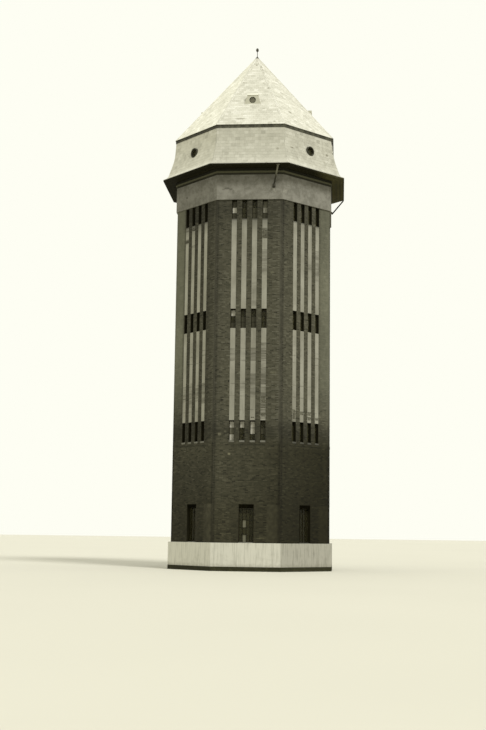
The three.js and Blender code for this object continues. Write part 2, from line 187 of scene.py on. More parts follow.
class Shader:
    """A material's node tree, written as expressions."""

    def __init__(self, name: str) -> None:
        """Starts a new material with an empty tree.

        Args:
            name: The material's name.
        """
        self.material = bpy.data.materials.new(name)
        self.material.use_nodes = True
        self._tree = self.material.node_tree
        self._tree.nodes.clear()
        self.place = self.signal("ShaderNodeTexCoord", {}, {}, "Object")
        parts = self.node("ShaderNodeSeparateXYZ", {}, {"Vector": self.place})
        self.x, self.y, self.height = (Signal(self, part) for part in parts.outputs)

    def node(
        self, kind: str, settings: Mapping[str, Any], sockets: Mapping[str, Any]
    ) -> bpy.types.Node:
        """Adds a node.

        Args:
            kind: The node's type.
            settings: Its own settings, and the stops of a colour ramp as "stops".
            sockets: A value or a signal for each input, by its identifier or name.

        Returns:
            The new node.
        """
        made = self._tree.nodes.new(kind)
        for name, value in settings.items():
            if name == "stops":
                self._set_stops(made.color_ramp, value)
            else:
                setattr(made, name, value)
        for name, value in sockets.items():
            socket = next(s for s in made.inputs if name in (s.identifier, s.name))
            if isinstance(value, Signal):
                self._tree.links.new(value.socket, socket)
            elif value is not None:
                socket.default_value = value
        return made

    def signal(
        self,
        kind: str,
        settings: Mapping[str, Any],
        sockets: Mapping[str, Any],
        output: str | int = 0,
    ) -> Signal:
        """Adds a node, as node() does, and returns one of its outputs."""
        return Signal(self, self.node(kind, settings, sockets).outputs[output])

    @staticmethod
    def _set_stops(ramp: bpy.types.ColorRamp, stops: Stops) -> None:
        """Sets a colour ramp's stops.

        Args:
            ramp: The ramp.
            stops: Pairs of position and colour.
        """
        while len(ramp.elements) < len(stops):
            ramp.elements.new(1.0)
        for element, (position, colour) in zip(ramp.elements, stops, strict=True):
            element.position = position
            element.color = colour

    def math(self, operation: str, left: Signal | float, right: Signal | float | None = None) -> Signal:
        """Returns a Math node's result for one or two numbers."""
        sockets = {"Value": left, "Value_001": right}
        return self.signal("ShaderNodeMath", {"operation": operation}, sockets)

    def vector(
        self, operation: str, *vectors: Signal | Sequence[float], scale: Signal | float | None = None
    ) -> Signal:
        """Adds a Vector Math node.

        Args:
            operation: The node's operation.
            vectors: Its vectors, in order.
            scale: Its number, if the operation takes one.

        Returns:
            The result, which is a number for a length and a vector otherwise.
        """
        sockets = dict(zip(("Vector", "Vector_001", "Vector_002"), vectors, strict=False))
        output = "Value" if operation == "LENGTH" else "Vector"
        settings = {"operation": operation}
        return self.signal("ShaderNodeVectorMath", settings, {**sockets, "Scale": scale}, output)

    def attribute(self, name: str) -> Signal:
        """Returns a number that the mesh holds for each face."""
        return self.signal("ShaderNodeAttribute", {"attribute_name": name}, {}, "Fac")

    def radius(self) -> Signal:
        """Returns the distance from the tower's axis."""
        return self.vector("LENGTH", self.vector("MULTIPLY", self.place, (1.0, 1.0, 0.0)))

    def left_of_hip(self) -> Signal:
        """Returns how far each point lies beyond the hip between the front and its left neighbour."""
        return 0 - self.x - abs(self.y) * FLARE

    def noise(
        self,
        scale: float,
        detail: float = 2.0,
        stretch: Triple = (1.0, 1.0, 1.0),
        roughness: float = 0.5,
        shift: float = 0.0,
    ) -> Signal:
        """Adds a noise in the tower's frame.

        Args:
            scale: Waves in a metre.
            detail: Number of finer octaves.
            stretch: Factors on x, y and z, below 1 to draw the pattern out.
            roughness: Weight of the finer octaves.
            shift: Moves the pattern, to keep two noises apart.

        Returns:
            The noise, about 0.5 in the mean.
        """
        moved = self.vector("MULTIPLY_ADD", self.place, stretch, (shift, shift, shift))
        sockets = {"Vector": moved, "Scale": scale, "Detail": detail, "Roughness": roughness}
        return self.signal("ShaderNodeTexNoise", {}, sockets)

    def streaks(self, scale: float, length: float = 14.0, shift: float = 0.0) -> Signal:
        """Returns a noise drawn out downwards, as rain draws dirt."""
        return self.noise(scale, 3.0, (1.0, 1.0, 1.0 / length), 0.55, shift)

    def cracks(self, scale: float, width: float) -> Signal:
        """Returns thin wandering lines.

        Args:
            scale: Cells in a metre.
            width: Width of the lines, as a share of a cell.

        Returns:
            The lines, 1 along their middle.
        """
        bent = self.vector("ADD", self.place, self.noise(1.7, 4.0))
        settings = {"feature": "DISTANCE_TO_EDGE"}
        edges = self.signal("ShaderNodeTexVoronoi", settings, {"Vector": bent, "Scale": scale}, "Distance")
        return edges.ramp(width, 0.0)

    def colours(self, value: Signal, stops: Stops) -> Signal:
        """Returns the colour that a ramp gives a value."""
        return self.signal("ShaderNodeValToRGB", {"stops": stops}, {"Fac": value}, "Color")

    def blend(
        self, base: Signal | Colour, over: Signal | Colour, mask: Signal | float, mode: str = "MIX"
    ) -> Signal:
        """Lays one colour over another.

        Args:
            base: The colour where the mask is 0.
            over: The colour where it is 1.
            mask: The share of the second colour.
            mode: How the two are mixed, such as "MULTIPLY" for a stain.

        Returns:
            The mixed colour.
        """
        settings = {"data_type": "RGBA", "blend_type": mode}
        sockets = {"Factor_Float": mask, "A_Color": base, "B_Color": over}
        return self.signal("ShaderNodeMix", settings, sockets, 2)

    def dimmed(self, colour: Signal | Colour, factor: Signal | float) -> Signal:
        """Returns a colour times a number."""
        plain = colour if isinstance(colour, Signal) else colour[:3]
        return self.vector("SCALE", plain, scale=factor)

    def surface(
        self,
        colour: Signal,
        roughness: Signal | float,
        relief: Signal | None = None,
        depth: float = 0.002,
        shine: float = 0.3,
        **plain: float,
    ) -> None:
        """Closes the tree with its surface.

        Args:
            colour: The base colour.
            roughness: The roughness.
            relief: Height for the bump, if there is one.
            depth: How far the bump's height of 1 stands out.
            shine: The level of its reflection.
            plain: Other sockets that are the same all over.
        """
        sockets = {"Base Color": colour, "Roughness": roughness, "Specular IOR Level": shine, **plain}
        if relief is not None:
            heights = {"Height": relief, "Distance": depth}
            sockets["Normal"] = self.signal("ShaderNodeBump", {}, heights, "Normal")
        shader = self.signal("ShaderNodeBsdfPrincipled", {}, sockets)
        self.node("ShaderNodeOutputMaterial", {}, {"Surface": shader})


def tint(red: int, green: int, blue: int) -> Colour:
    """Returns the linear colour of a display colour, whose channels go from 0 to 255."""
    shares = (channel / 255 for channel in (red, green, blue))
    return *(s / 12.92 if s <= 0.04045 else ((s + 0.055) / 1.055) ** 2.4 for s in shares), 1.0


# Finishes

# A spot has its full strength up to this share of its reach.
SPOT_CORE = 0.45
# A stretch fades out between these shares of its column, in the brick beside the strip.
STRIP_EDGE = (0.45, 0.25)


@dataclass(frozen=True)
class Spot:
    """A soft-edged spot or patch on one face of the tower."""

    face: int
    x: float
    height: float
    apothem: float
    width: float
    rise: float
    strength: float = 1.0

    def mask(self, shader: Shader) -> Signal:
        """Returns the spot's share of each point."""
        return self.distance(shader).ramp(1.0, SPOT_CORE) * self.strength

    def distance(self, shader: Shader) -> Signal:
        """Measures from the middle of the spot.

        Args:
            shader: The material's tree.

        Returns:
            How far each point is away, which is 1 at the spot's rim.
        """
        turn = Matrix.Rotation(self.face * FACE_ANGLE, 3, "Z")
        centre = turn @ Vector((self.x, -self.apothem, self.height))
        scale = Vector((2 / self.width, 2 / self.width, 2 / self.rise))
        away = shader.vector("MULTIPLY_ADD", shader.place, scale, -centre * scale)
        return shader.vector("LENGTH", away)


@dataclass(frozen=True)
class Stretch:
    """A dirty length of one plastered strip, across its full width."""

    face: int
    slot: int
    foot: float
    head: float
    strength: float
    edge: float = 0.05

    def mask(self, shader: Shader) -> Signal:
        """Finds the stretch's share of each point.

        Args:
            shader: The material's tree.

        Returns:
            The share.
        """
        x = SLOT_CENTRES[self.slot]
        column = Spot(self.face, x, 0.0, PLASTER, 2 * SLOT_PITCH, math.inf).distance(shader)
        across = column.ramp(*STRIP_EDGE)
        rises = shader.height.ramp(self.foot, self.foot + self.edge)
        ends = shader.height.ramp(self.head, self.head - self.edge)
        return across * rises * ends * self.strength


def all_of(shader: Shader, marks: Sequence[Spot | Stretch]) -> Signal | float:
    """Returns the sum of the marks' shares, or 0 where there are none."""
    return sum((mark.mask(shader) for mark in marks), 0.0)


@dataclass(frozen=True)
class Finish:
    """One surface finish: the name of its material and its slot in the record."""

    name: str
    slot: str

    def shade(self, shader: Shader) -> None:
        """Writes the finish into a new material's tree."""
        raise NotImplementedError

    def material(self) -> bpy.types.Material:
        """Makes the finish's material when it is first asked for.

        Returns:
            The material.
        """
        found = bpy.data.materials.get(self.name)
        if found is None:
            shader = Shader(self.name)
            self.shade(shader)
            found = shader.material
        return found

    def dress(self, *nodes: str) -> None:
        """Gives CAD nodes this finish.

        Args:
            nodes: Names of the nodes.
        """
        material = self.material()
        for node in nodes:
            for material_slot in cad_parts[node].material_slots:
                material_slot.material = material
            LOG.info("%s wears %s", node, self.name)


@dataclass(frozen=True)
class WallGrimeAndPaintedLight:
    """Marks that brick and mortar share: grime, painted shade and painted highlights.

    Painted shade darkens the wall towards the ground, the more so towards the right, and on the
    left-hand faces. Painted highlights lighten the far edges of both side faces. The wall is also
    darker along the octagon's corners, towards the frieze and in bands at the low and top windows,
    has patches over the piers, some darker and some lighter, and is mottled and streaked.
    """

    # Painted shade: the wall darkens towards the ground, and more so towards the right.
    ground_reach: Span = (10.4, 8.0)
    ground_shade: Colour = (0.86, 0.855, 0.81, 1.0)
    foot: Colour = (0.68, 0.67, 0.61, 1.0)
    foot_reach: Span = (7.0, 3.0)
    broad_tone: Colour = (0.30, 0.292, 0.21, 1.0)
    right_shade_side: Span = (-3.2, 5.6)
    # Painted highlights on the far edges of both side faces, stronger on the left.
    bleached: Colour = tint(97, 97, 82)
    highlight_side: Span = (4.72, 5.0)
    highlight_depth: Span = (-0.8, -2.3)
    highlight_foot: Span = (9.4, 14.3)
    highlight_mottle: float = 0.75
    edge_highlights: tuple[Spot, ...] = (
        Spot(FRONT_RIGHT, 1.9, 19.7, WALL, 1.8, 5.4, 0.17),
        Spot(FRONT_LEFT, -1.9, 15.9, WALL, 1.8, 3.8, 0.20),
    )
    highlight_gain: float = 0.62
    left_highlight_gain: float = 0.38
    # Painted shade on the left-hand faces.
    shade_side: Span = (-2.2, -3.0)
    shade_dimming: float = 0.16
    corner_dimming: float = 0.40
    corner_reach: Span = (WALL * 1.066, WALL * 1.079)
    frieze_dimming: float = 0.15
    frieze_reach: Span = (WALL_HEAD - 7.0, WALL_HEAD)
    mottle: float = 0.42
    rows: tuple[Triple, ...] = ((9.55, 1.2, 0.34), (25.1, 1.3, 0.22))
    piers: tuple[Spot, ...] = (
        Spot(FRONT, 0.0, 16.75, WALL, 3.6, 2.4, 0.16),
        Spot(FRONT_LEFT, 0.0, 16.75, WALL, 3.4, 2.8, -0.30),
        Spot(FRONT_RIGHT, 0.3, 25.10, WALL, 3.8, 2.4, -0.32),
        Spot(FRONT_LEFT, 0.0, 8.15, WALL, 4.6, 1.6, -0.22),
    )

    def lay(self, shader: Shader, colour: Signal) -> Signal:
        """Lays the grime, the painted shade and the painted highlights on a colour.

        Args:
            shader: The material's tree.
            colour: The wall's own colour.

        Returns:
            The colour with the grime, the painted shade and the painted highlights on it.
        """
        corner = shader.radius().ramp(*self.corner_reach)
        top = shader.height.ramp(*self.frieze_reach)
        # Painted shade on the left-hand faces.
        shade = shader.x.ramp(*self.shade_side)
        clouds = shader.noise(0.55, 4.0, (1.0, 1.0, 0.7), 0.6)
        streaks = shader.streaks(2.4, shift=3.0)
        kept = (1 - corner * self.corner_dimming) * (1 - top * self.frieze_dimming)
        kept = kept * (1 - shade * self.shade_dimming) * (1 - all_of(shader, self.piers))
        for middle, reach, share in self.rows:
            kept = kept * (1 - shader.height.near(middle, reach) * share)
        kept = kept * (1 + (clouds - 0.5) * self.mottle + (streaks - 0.5) * self.mottle)
        # Painted shade towards the ground, more so towards the right.
        low = shader.height.ramp(*self.ground_reach)
        foot = shader.height.ramp(*self.foot_reach)
        broad_tone = low * shader.x.ramp(*self.right_shade_side)
        # Painted highlights on the far edges of the side faces.
        highlight_zone = shader.y.ramp(*self.highlight_depth) * shader.height.ramp(*self.highlight_foot)
        edges = abs(shader.x).ramp(*self.highlight_side) * highlight_zone
        painted_light_and_grime = shader.blend(shader.dimmed(colour, kept), self.bleached, edges * self.highlight_gain)
        left = (0 - shader.x).ramp(*self.highlight_side) * highlight_zone
        patches = (shader.noise(3.0, 4.0, (1.0, 1.0, 0.8), 0.65) - 0.5) * self.highlight_mottle
        patches = edges * patches + all_of(shader, self.edge_highlights)
        painted_light_and_grime = shader.dimmed(painted_light_and_grime, 1 + left * self.left_highlight_gain + patches)
        for ground_shade, share in ((self.ground_shade, low), (self.foot, foot), (self.broad_tone, broad_tone)):
            painted_light_and_grime = shader.blend(painted_light_and_grime, ground_shade, share, "MULTIPLY")
        return painted_light_and_grime


@dataclass(frozen=True)
class BrickFinish(Finish):
    """Dark weathered brick. Each brick's tone comes from its mesh."""

    burnt: Colour = tint(42, 41, 32)
    dark: Colour = tint(59, 58, 46)
    middle: Colour = tint(71, 69, 56)
    pale: Colour = tint(92, 90, 76)
    grain: float = 85.0
    grain_share: float = 0.35
    patch_share: float = 0.4
    soot_share: float = 0.75
    spatter_gain: float = 2.2
    darker: tuple[Spot, ...] = (
        Spot(FRONT, -1.780, 11.573, WALL, 0.26, 0.22),
        Spot(FRONT, -1.270, 12.900, WALL, 0.22, 0.22),
        Spot(FRONT_RIGHT, 1.60, 7.900, WALL, 0.30, 0.20, 0.7),
        Spot(FRONT_LEFT, 1.75, 21.300, WALL, 0.24, 0.24, 0.8),
        Spot(3, 0.90, 6.900, WALL, 0.26, 0.22),
        Spot(5, -1.70, 14.100, WALL, 0.26, 0.22),
    )
    spattered: tuple[Spot, ...] = (
        Spot(FRONT, -1.217, 7.886, WALL, 0.24, 0.22),
        Spot(FRONT, -1.889, 9.227, WALL, 0.30, 0.24, 0.7),
        Spot(FRONT, -1.514, 9.421, WALL, 0.22, 0.18, 0.6),
        Spot(FRONT, -0.693, 9.617, WALL, 0.18, 0.18, 0.5),
        Spot(FRONT, 1.200, 2.220, WALL, 1.80, 0.12, 0.6),
        Spot(FRONT, 1.62, 20.5, WALL, 0.40, 0.22, 0.35),
        Spot(FRONT, 1.75, 13.5, WALL, 0.60, 0.30, 0.30),
        Spot(4, 1.30, 8.100, WALL, 0.30, 0.22, 0.7),
    )

    def shade(self, shader: Shader) -> None:
        """Writes the brick into a new material's tree.

        Args:
            shader: The tree.
        """
        grain = shader.noise(self.grain, 3.0)
        patches = shader.noise(9.0, 3.0, shift=7.0)
        value = shader.attribute(TONE) + (grain - 0.5) * self.grain_share
        value = value + (patches - 0.5) * self.patch_share
        stops = ((0.0, self.burnt), (0.35, self.dark), (0.6, self.middle), (1.0, self.pale))
        colour = WallGrimeAndPaintedLight().lay(shader, shader.colours(value, stops))
        colour = shader.dimmed(colour, 1 - all_of(shader, self.darker) * self.soot_share)
        colour = shader.dimmed(colour, 1 + all_of(shader, self.spattered) * self.spatter_gain)
        shader.surface(colour, 0.80 + grain * 0.2, grain + patches * 0.5, 0.003, 0.15)


@dataclass(frozen=True)
class MortarFinish(Finish):
    """Sooty mortar behind the bricks."""

    dark: Colour = tint(63, 61, 50)
    pale: Colour = tint(94, 92, 78)
    grain: float = 120.0

    def shade(self, shader: Shader) -> None:
        """Writes the mortar into a new material's tree.

        Args:
            shader: The tree.
        """
        sand = shader.noise(self.grain, 3.0)
        patches = shader.noise(4.0, 3.0)
        colour = shader.colours(sand * 0.4 + patches * 0.6, ((0.3, self.dark), (0.7, self.pale)))
        shader.surface(WallGrimeAndPaintedLight().lay(shader, colour), 0.95, sand, 0.003, 0.15)


@dataclass(frozen=True)
class SillDarkening:
    """Darker low sills, more so on the right-hand face, and painted shadow under the top windows.

    The painted shadow covers the heads of the strips under the top windows and the top sills, less
    on the right-hand face.
    """

    # Darker low sills, more so on the right-hand face.
    reach: Span = (8.90, 8.85)
    share: float = 0.44
    side: Span = (2.2, 2.5)
    side_share: float = 0.28
    # Painted shadow under the top windows, less on the right-hand face, darker still at the lip.
    top_reach: Span = (23.35, 24.30)
    top_share: float = 0.34
    top_fade: float = 0.65
    lip_reach: Span = (24.20, 24.36)
    lip_share: float = 0.52

    def lay(self, shader: Shader, colour: Signal) -> Signal:
        """Lays the darkening and the painted shadow on a colour.

        Args:
            shader: The material's tree.
            colour: The sills' own colour.

        Returns:
            The colour, darkened and with the painted shadow on it.
        """
        side = shader.x.ramp(*self.side)
        low = shader.height.ramp(*self.reach) * (side * self.side_share + self.share)
        # Painted shadow under the top windows.
        top = shader.height.ramp(*self.top_reach) * self.top_share * (1 - side * self.top_fade)
        lip = shader.height.ramp(*self.lip_reach) * self.lip_share
        return shader.dimmed(colour, (1 - low) * (1 - top) * (1 - lip))


@dataclass(frozen=True)
class PlasterFinish(Finish):
    """Coarse light plaster, rain-streaked, with the courses behind it showing in places."""

    pale: Colour = tint(139, 137, 124)
    grey: Colour = tint(115, 113, 100)
    dirt: Colour = tint(66, 64, 53)
    grain: float = 60.0
    streak_share: float = 0.22
    course_share: float = 0.18
    age_reach: Span = (25.0, 9.0)
    age_share: float = 0.06
    joint_bend: float = 0.10
    joint_share: float = 0.45
    broken_least: float = 0.35
    broken_share: float = 1.15
    stretches: tuple[Stretch, ...] = (
        Stretch(FRONT, 3, 22.90, 23.76, 0.66, 0.16),
        Stretch(FRONT, 3, 20.31, 22.20, 0.30),
        Stretch(FRONT, 3, 10.28, 15.60, 0.42),
        Stretch(FRONT, 2, 14.30, 15.25, 0.34),
        Stretch(FRONT, 2, 11.75, 13.45, 0.34),
        Stretch(FRONT, 2, 18.10, 19.90, 0.22),
        Stretch(FRONT, 1, 14.26, 15.06, 0.20),
        Stretch(FRONT, 1, 12.20, 12.95, 0.24),
        Stretch(FRONT, 0, 14.30, 15.20, 0.36),
        Stretch(FRONT_RIGHT, 3, 20.30, 22.60, 0.34),
        Stretch(FRONT_RIGHT, 2, 20.90, 21.50, 0.30),
        Stretch(FRONT_RIGHT, 0, 10.20, 10.95, 0.30),
        Stretch(FRONT_LEFT, 0, 23.08, 23.56, 0.60, 0.14),
        Stretch(FRONT_LEFT, 0, 23.98, 24.40, 0.50, 0.14),
        Stretch(FRONT_LEFT, 1, 23.95, 24.40, 0.55, 0.14),
        Stretch(FRONT_LEFT, 1, 22.70, 23.00, 0.34, 0.12),
        Stretch(FRONT_LEFT, 0, 11.60, 12.70, 0.36),
        Stretch(FRONT_LEFT, 1, 11.20, 13.00, 0.34),
        Stretch(FRONT_LEFT, 2, 11.60, 12.60, 0.30),
        Stretch(FRONT_LEFT, 3, 11.40, 12.90, 0.34),
        Stretch(2, 1, 10.20, 13.60, 0.40),
        Stretch(3, 2, 21.00, 23.30, 0.40),
        Stretch(4, 0, 10.20, 12.80, 0.40),
        Stretch(5, 3, 11.20, 13.30, 0.40),
        Stretch(6, 2, 18.60, 20.40, 0.34),
    )
    washed_side: Span = (-2.2, -2.6)
    washed: float = 0.28
    joints: tuple[Span, ...] = (
        (15.16, 0.05), (14.82, 0.07), (14.32, 0.05), (12.72, 0.06), (11.88, 0.05), (10.92, 0.05),
    )

    def shade(self, shader: Shader) -> None:
        """Writes the plaster into a new material's tree.

        Args:
            shader: The tree.
        """
        grain = shader.noise(self.grain, 4.0, roughness=0.65)
        clouds = shader.noise(1.1, 4.0, (1.0, 1.0, 0.6))
        streaks = shader.streaks(7.0, 10.0)
        base = shader.colours(clouds * 0.7 + grain * 0.3, ((0.32, self.grey), (0.62, self.pale)))
        age = shader.height.ramp(*self.age_reach) * self.age_share
        courses = shader.noise(2.4, 4.0, (0.22, 0.22, 1.6), 0.65, 5.0)
        bent = shader.height + (clouds - 0.5) * self.joint_bend
        joints = sum((bent.near(height, reach) for height, reach in self.joints), 0.0)
        joints = joints * shader.noise(1.2, 2.0, (1.0, 1.0, 0.4), shift=8.0).ramp(0.40, 0.60)
        dirt = streaks.ramp(0.52, 0.80) * self.streak_share
        dirt = dirt + courses.ramp(0.56, 0.76) * self.course_share + age + joints * self.joint_share
        broken = courses.ramp(0.38, 0.60) * self.broken_share + self.broken_least
        broken = all_of(shader, self.stretches) * broken
        colour = shader.blend(base, self.dirt, dirt + broken)
        colour = shader.dimmed(colour, 1 + shader.x.ramp(*self.washed_side) * self.washed)
        shader.surface(SillDarkening().lay(shader, colour), 0.92, grain + clouds, 0.004, 0.15)


@dataclass(frozen=True)
class FriezeFinish(Finish):
    """Grey cement render, stained and finely cracked.

    Painted shade of the overhang and soot darken its top, and painted shadow darkens the cornice
    below and above its lighter band.
    """

    pale: Colour = tint(119, 117, 107)
    grey: Colour = tint(99, 97, 87)
    # Painted shade of the overhang, with soot, darkens the top in this colour, which also draws streaks and
    # cracks.
    shade_and_marks: Colour = tint(52, 50, 40)
    soot_and_shade_reach: Span = (26.55, 27.25)
    soot_share: float = 0.21
    head: float = span_of("frieze")[1]
    band_foot: float = span_of("frieze")[1] + 0.12
    band_head: float = span_of("frieze")[1] + 0.26
    # Painted shadow on the cornice, below its lighter band.
    neck_shadow: Colour = tint(46, 45, 32)
    band: Colour = tint(80, 79, 59)
    # How the top's painted shade and soot fade on the side faces.
    soot_and_shade_side: Span = (2.6, 2.2)
    side_share: float = 0.6
    streak_share: float = 0.22
    # Painted shadow on the cornice, above its lighter band.
    shelter_shadow: Colour = tint(26, 25, 11)
    blotch_share: float = 0.60
    crack_scale: float = 0.55
    crack_width: float = 0.008
    crack_share: float = 0.28
    cracked_share: float = 0.62
    rubbed_gain: float = 0.32
    cracked: tuple[Spot, ...] = (
        Spot(FRONT, -1.62, 26.54, FRIEZE, 0.50, 0.20, 0.90),
        Spot(FRONT, -1.88, 26.47, FRIEZE, 0.26, 0.18, 0.55),
        Spot(FRONT, -1.34, 26.47, FRIEZE, 0.34, 0.18, 0.60),
        Spot(FRONT, -1.15, 26.33, FRIEZE, 0.22, 0.28, 0.40),
        Spot(FRONT_LEFT, -1.10, 26.58, FRIEZE, 0.22, 0.20),
        Spot(5, 0.70, 26.70, FRIEZE, 0.60, 0.10),
        Spot(3, -1.30, 26.20, FRIEZE, 0.16, 0.60),
    )
    rubbed: tuple[Spot, ...] = (
        Spot(FRONT, 1.72, 26.42, FRIEZE, 0.50, 0.42),
        Spot(FRONT_RIGHT, -2.20, 26.38, FRIEZE, 0.60, 0.46),
        Spot(4, 1.20, 26.10, FRIEZE, 0.60, 0.40),
    )

    def shade(self, shader: Shader) -> None:
        """Writes the render into a new material's tree.

        Args:
            shader: The tree.
        """
        grain = shader.noise(45.0, 4.0, roughness=0.6)
        clouds = shader.noise(0.9, 5.0, (1.0, 1.0, 1.4), 0.6)
        streaks = shader.streaks(3.4, 6.0)
        blotches = shader.noise(4.0, 3.0, roughness=0.65, shift=4.0) - 0.5
        value = clouds * 0.8 + grain * 0.2 + blotches * self.blotch_share
        base = shader.colours(value, ((0.38, self.grey), (0.60, self.pale)))
        # Painted shade of the overhang, with soot, at the top.
        edge = shader.height + (shader.noise(1.3, 4.0, shift=2.0) - 0.5) * 1.3
        aside = abs(shader.x).ramp(*self.soot_and_shade_side) * self.side_share + (1 - self.side_share)
        shade_and_marks = edge.ramp(*self.soot_and_shade_reach) * aside * self.soot_share
        shade_and_marks = shade_and_marks + streaks.ramp(0.50, 0.90) * self.streak_share
        lines = shader.cracks(self.crack_scale, self.crack_width)
        lines = lines * shader.noise(0.4, 1.0, shift=9.0).ramp(0.46, 0.56)
        lines = lines * self.crack_share + all_of(shader, self.cracked) * self.cracked_share
        colour = shader.blend(base, self.shade_and_marks, shade_and_marks + lines)
        rubbed = all_of(shader, self.rubbed) * shader.noise(5.0, 3.0, shift=6.0).ramp(0.35, 0.65)
        colour = shader.dimmed(colour, 1 + rubbed * self.rubbed_gain)
        # Painted shadow on the cornice, below and above its lighter band.
        colour = shader.blend(colour, self.neck_shadow, shader.height.ramp(self.head, self.head + 0.02))
        colour = shader.blend(colour, self.band, shader.height.ramp(self.band_foot, self.band_foot + 0.02))
        shadowed_top = shader.height.ramp(self.band_head, self.band_head + 0.05)
        colour = shader.blend(colour, self.shelter_shadow, shadowed_top)
        shader.surface(colour, 0.93, grain - lines, 0.004)


@dataclass(frozen=True)
class LimewashFinish(Finish):
    """Streaky limewash over smooth masonry, splashed with mud at its foot."""

    pale: Colour = tint(182, 180, 166)
    worn: Colour = tint(146, 144, 130)
    mud: Colour = tint(112, 109, 94)
    # Painted shade on the right-hand faces, where more runs of worn limewash also fall.
    side_shade: Colour = (0.63, 0.625, 0.61, 1.0)
    right_side: Span = (2.28, 2.44)
    # The faces beyond the front's left hip are lighter.
    left_gain: float = 0.16
    foot: float = span_of("plinth")[0]
    splash: float = 0.30
    splash_share: float = 0.4
    run_share: float = 0.5
    side_runs: float = 0.3
    thin_share: float = 0.25

    def shade(self, shader: Shader) -> None:
        """Writes the limewash into a new material's tree.

        Args:
            shader: The tree.
        """
        brush = shader.noise(24.0, 4.0, (1.0, 1.0, 0.25))
        runs = shader.streaks(9.0, 14.0).ramp(0.46, 0.68)
        thin = shader.noise(2.2, 5.0, roughness=0.65).ramp(0.50, 0.72)
        # Painted shade, and more runs, on the right-hand faces.
        side = shader.x.ramp(*self.right_side)
        worn = runs * (side * self.side_runs + self.run_share) + thin * self.thin_share
        base = shader.blend(self.pale, self.worn, worn)
        base = shader.blend(base, self.side_shade, side, "MULTIPLY")
        # Lighter beyond the front's left hip.
        base = shader.dimmed(base, 1 + shader.left_of_hip().ramp(0.0, 0.05) * self.left_gain)
        edge = shader.height + (shader.noise(6.0, 4.0) - 0.5) * 0.5
        mud = edge.ramp(self.foot + self.splash, self.foot - 0.05) * self.splash_share
        shader.surface(shader.blend(base, self.mud, mud), 0.88, brush, 0.003)


@dataclass(frozen=True)
class TarFinish(Finish):
    """Tarred masonry of the base course, matt and dusty."""

    tar: Colour = tint(38, 37, 20)
    dust: Colour = tint(60, 59, 39)

    def shade(self, shader: Shader) -> None:
        """Writes the tar into a new material's tree.

        Args:
            shader: The tree.
        """
        grain = shader.noise(50.0, 4.0)
        patches = shader.noise(2.6, 5.0, roughness=0.65).ramp(0.45, 0.75)
        low = shader.height.ramp(0.12, 0.0)
        colour = shader.blend(self.tar, self.dust, patches * 0.6 + low * 0.3)
        shader.surface(colour, 0.72 + patches * 0.2, grain + patches, 0.004, 0.15)


@dataclass(frozen=True)
class ConcreteFinish(Finish):
    """Plain cast floors."""

    pale: Colour = tint(132, 130, 118)
    dark: Colour = tint(98, 96, 84)

    def shade(self, shader: Shader) -> None:
        """Writes the concrete into a new material's tree.

        Args:
            shader: The tree.
        """
        grain = shader.noise(40.0, 5.0)
        stains = shader.noise(1.4, 5.0, roughness=0.6)
        colour = shader.colours(stains * 0.7 + grain * 0.3, ((0.35, self.dark), (0.65, self.pale)))
        shader.surface(colour, 0.92, grain, 0.002)


@dataclass(frozen=True)
class BoardFinish(Finish):
    """Dark stained boards, worn on the right. Each board's tone comes from its mesh."""

    dark: Colour = tint(18, 17, 7)
    brown: Colour = tint(37, 35, 18)
    right_side: Span = (4.3, 5.6)
    worn: float = 3.3

    def shade(self, shader: Shader) -> None:
        """Writes the boards into a new material's tree.

        Args:
            shader: The tree.
        """
        grain = shader.noise(14.0, 5.0, (1.0, 1.0, 3.0), 0.6)
        broad_tone = shader.noise(0.8, 4.0)
        value = shader.attribute(TONE) * 0.5 + grain * 0.3 + broad_tone * 0.2
        colour = shader.colours(value, ((0.25, self.dark), (0.8, self.brown)))
        colour = shader.dimmed(colour, 1 + shader.x.ramp(*self.right_side) * self.worn)
        shader.surface(colour, 0.85, grain, 0.002, 0.08)


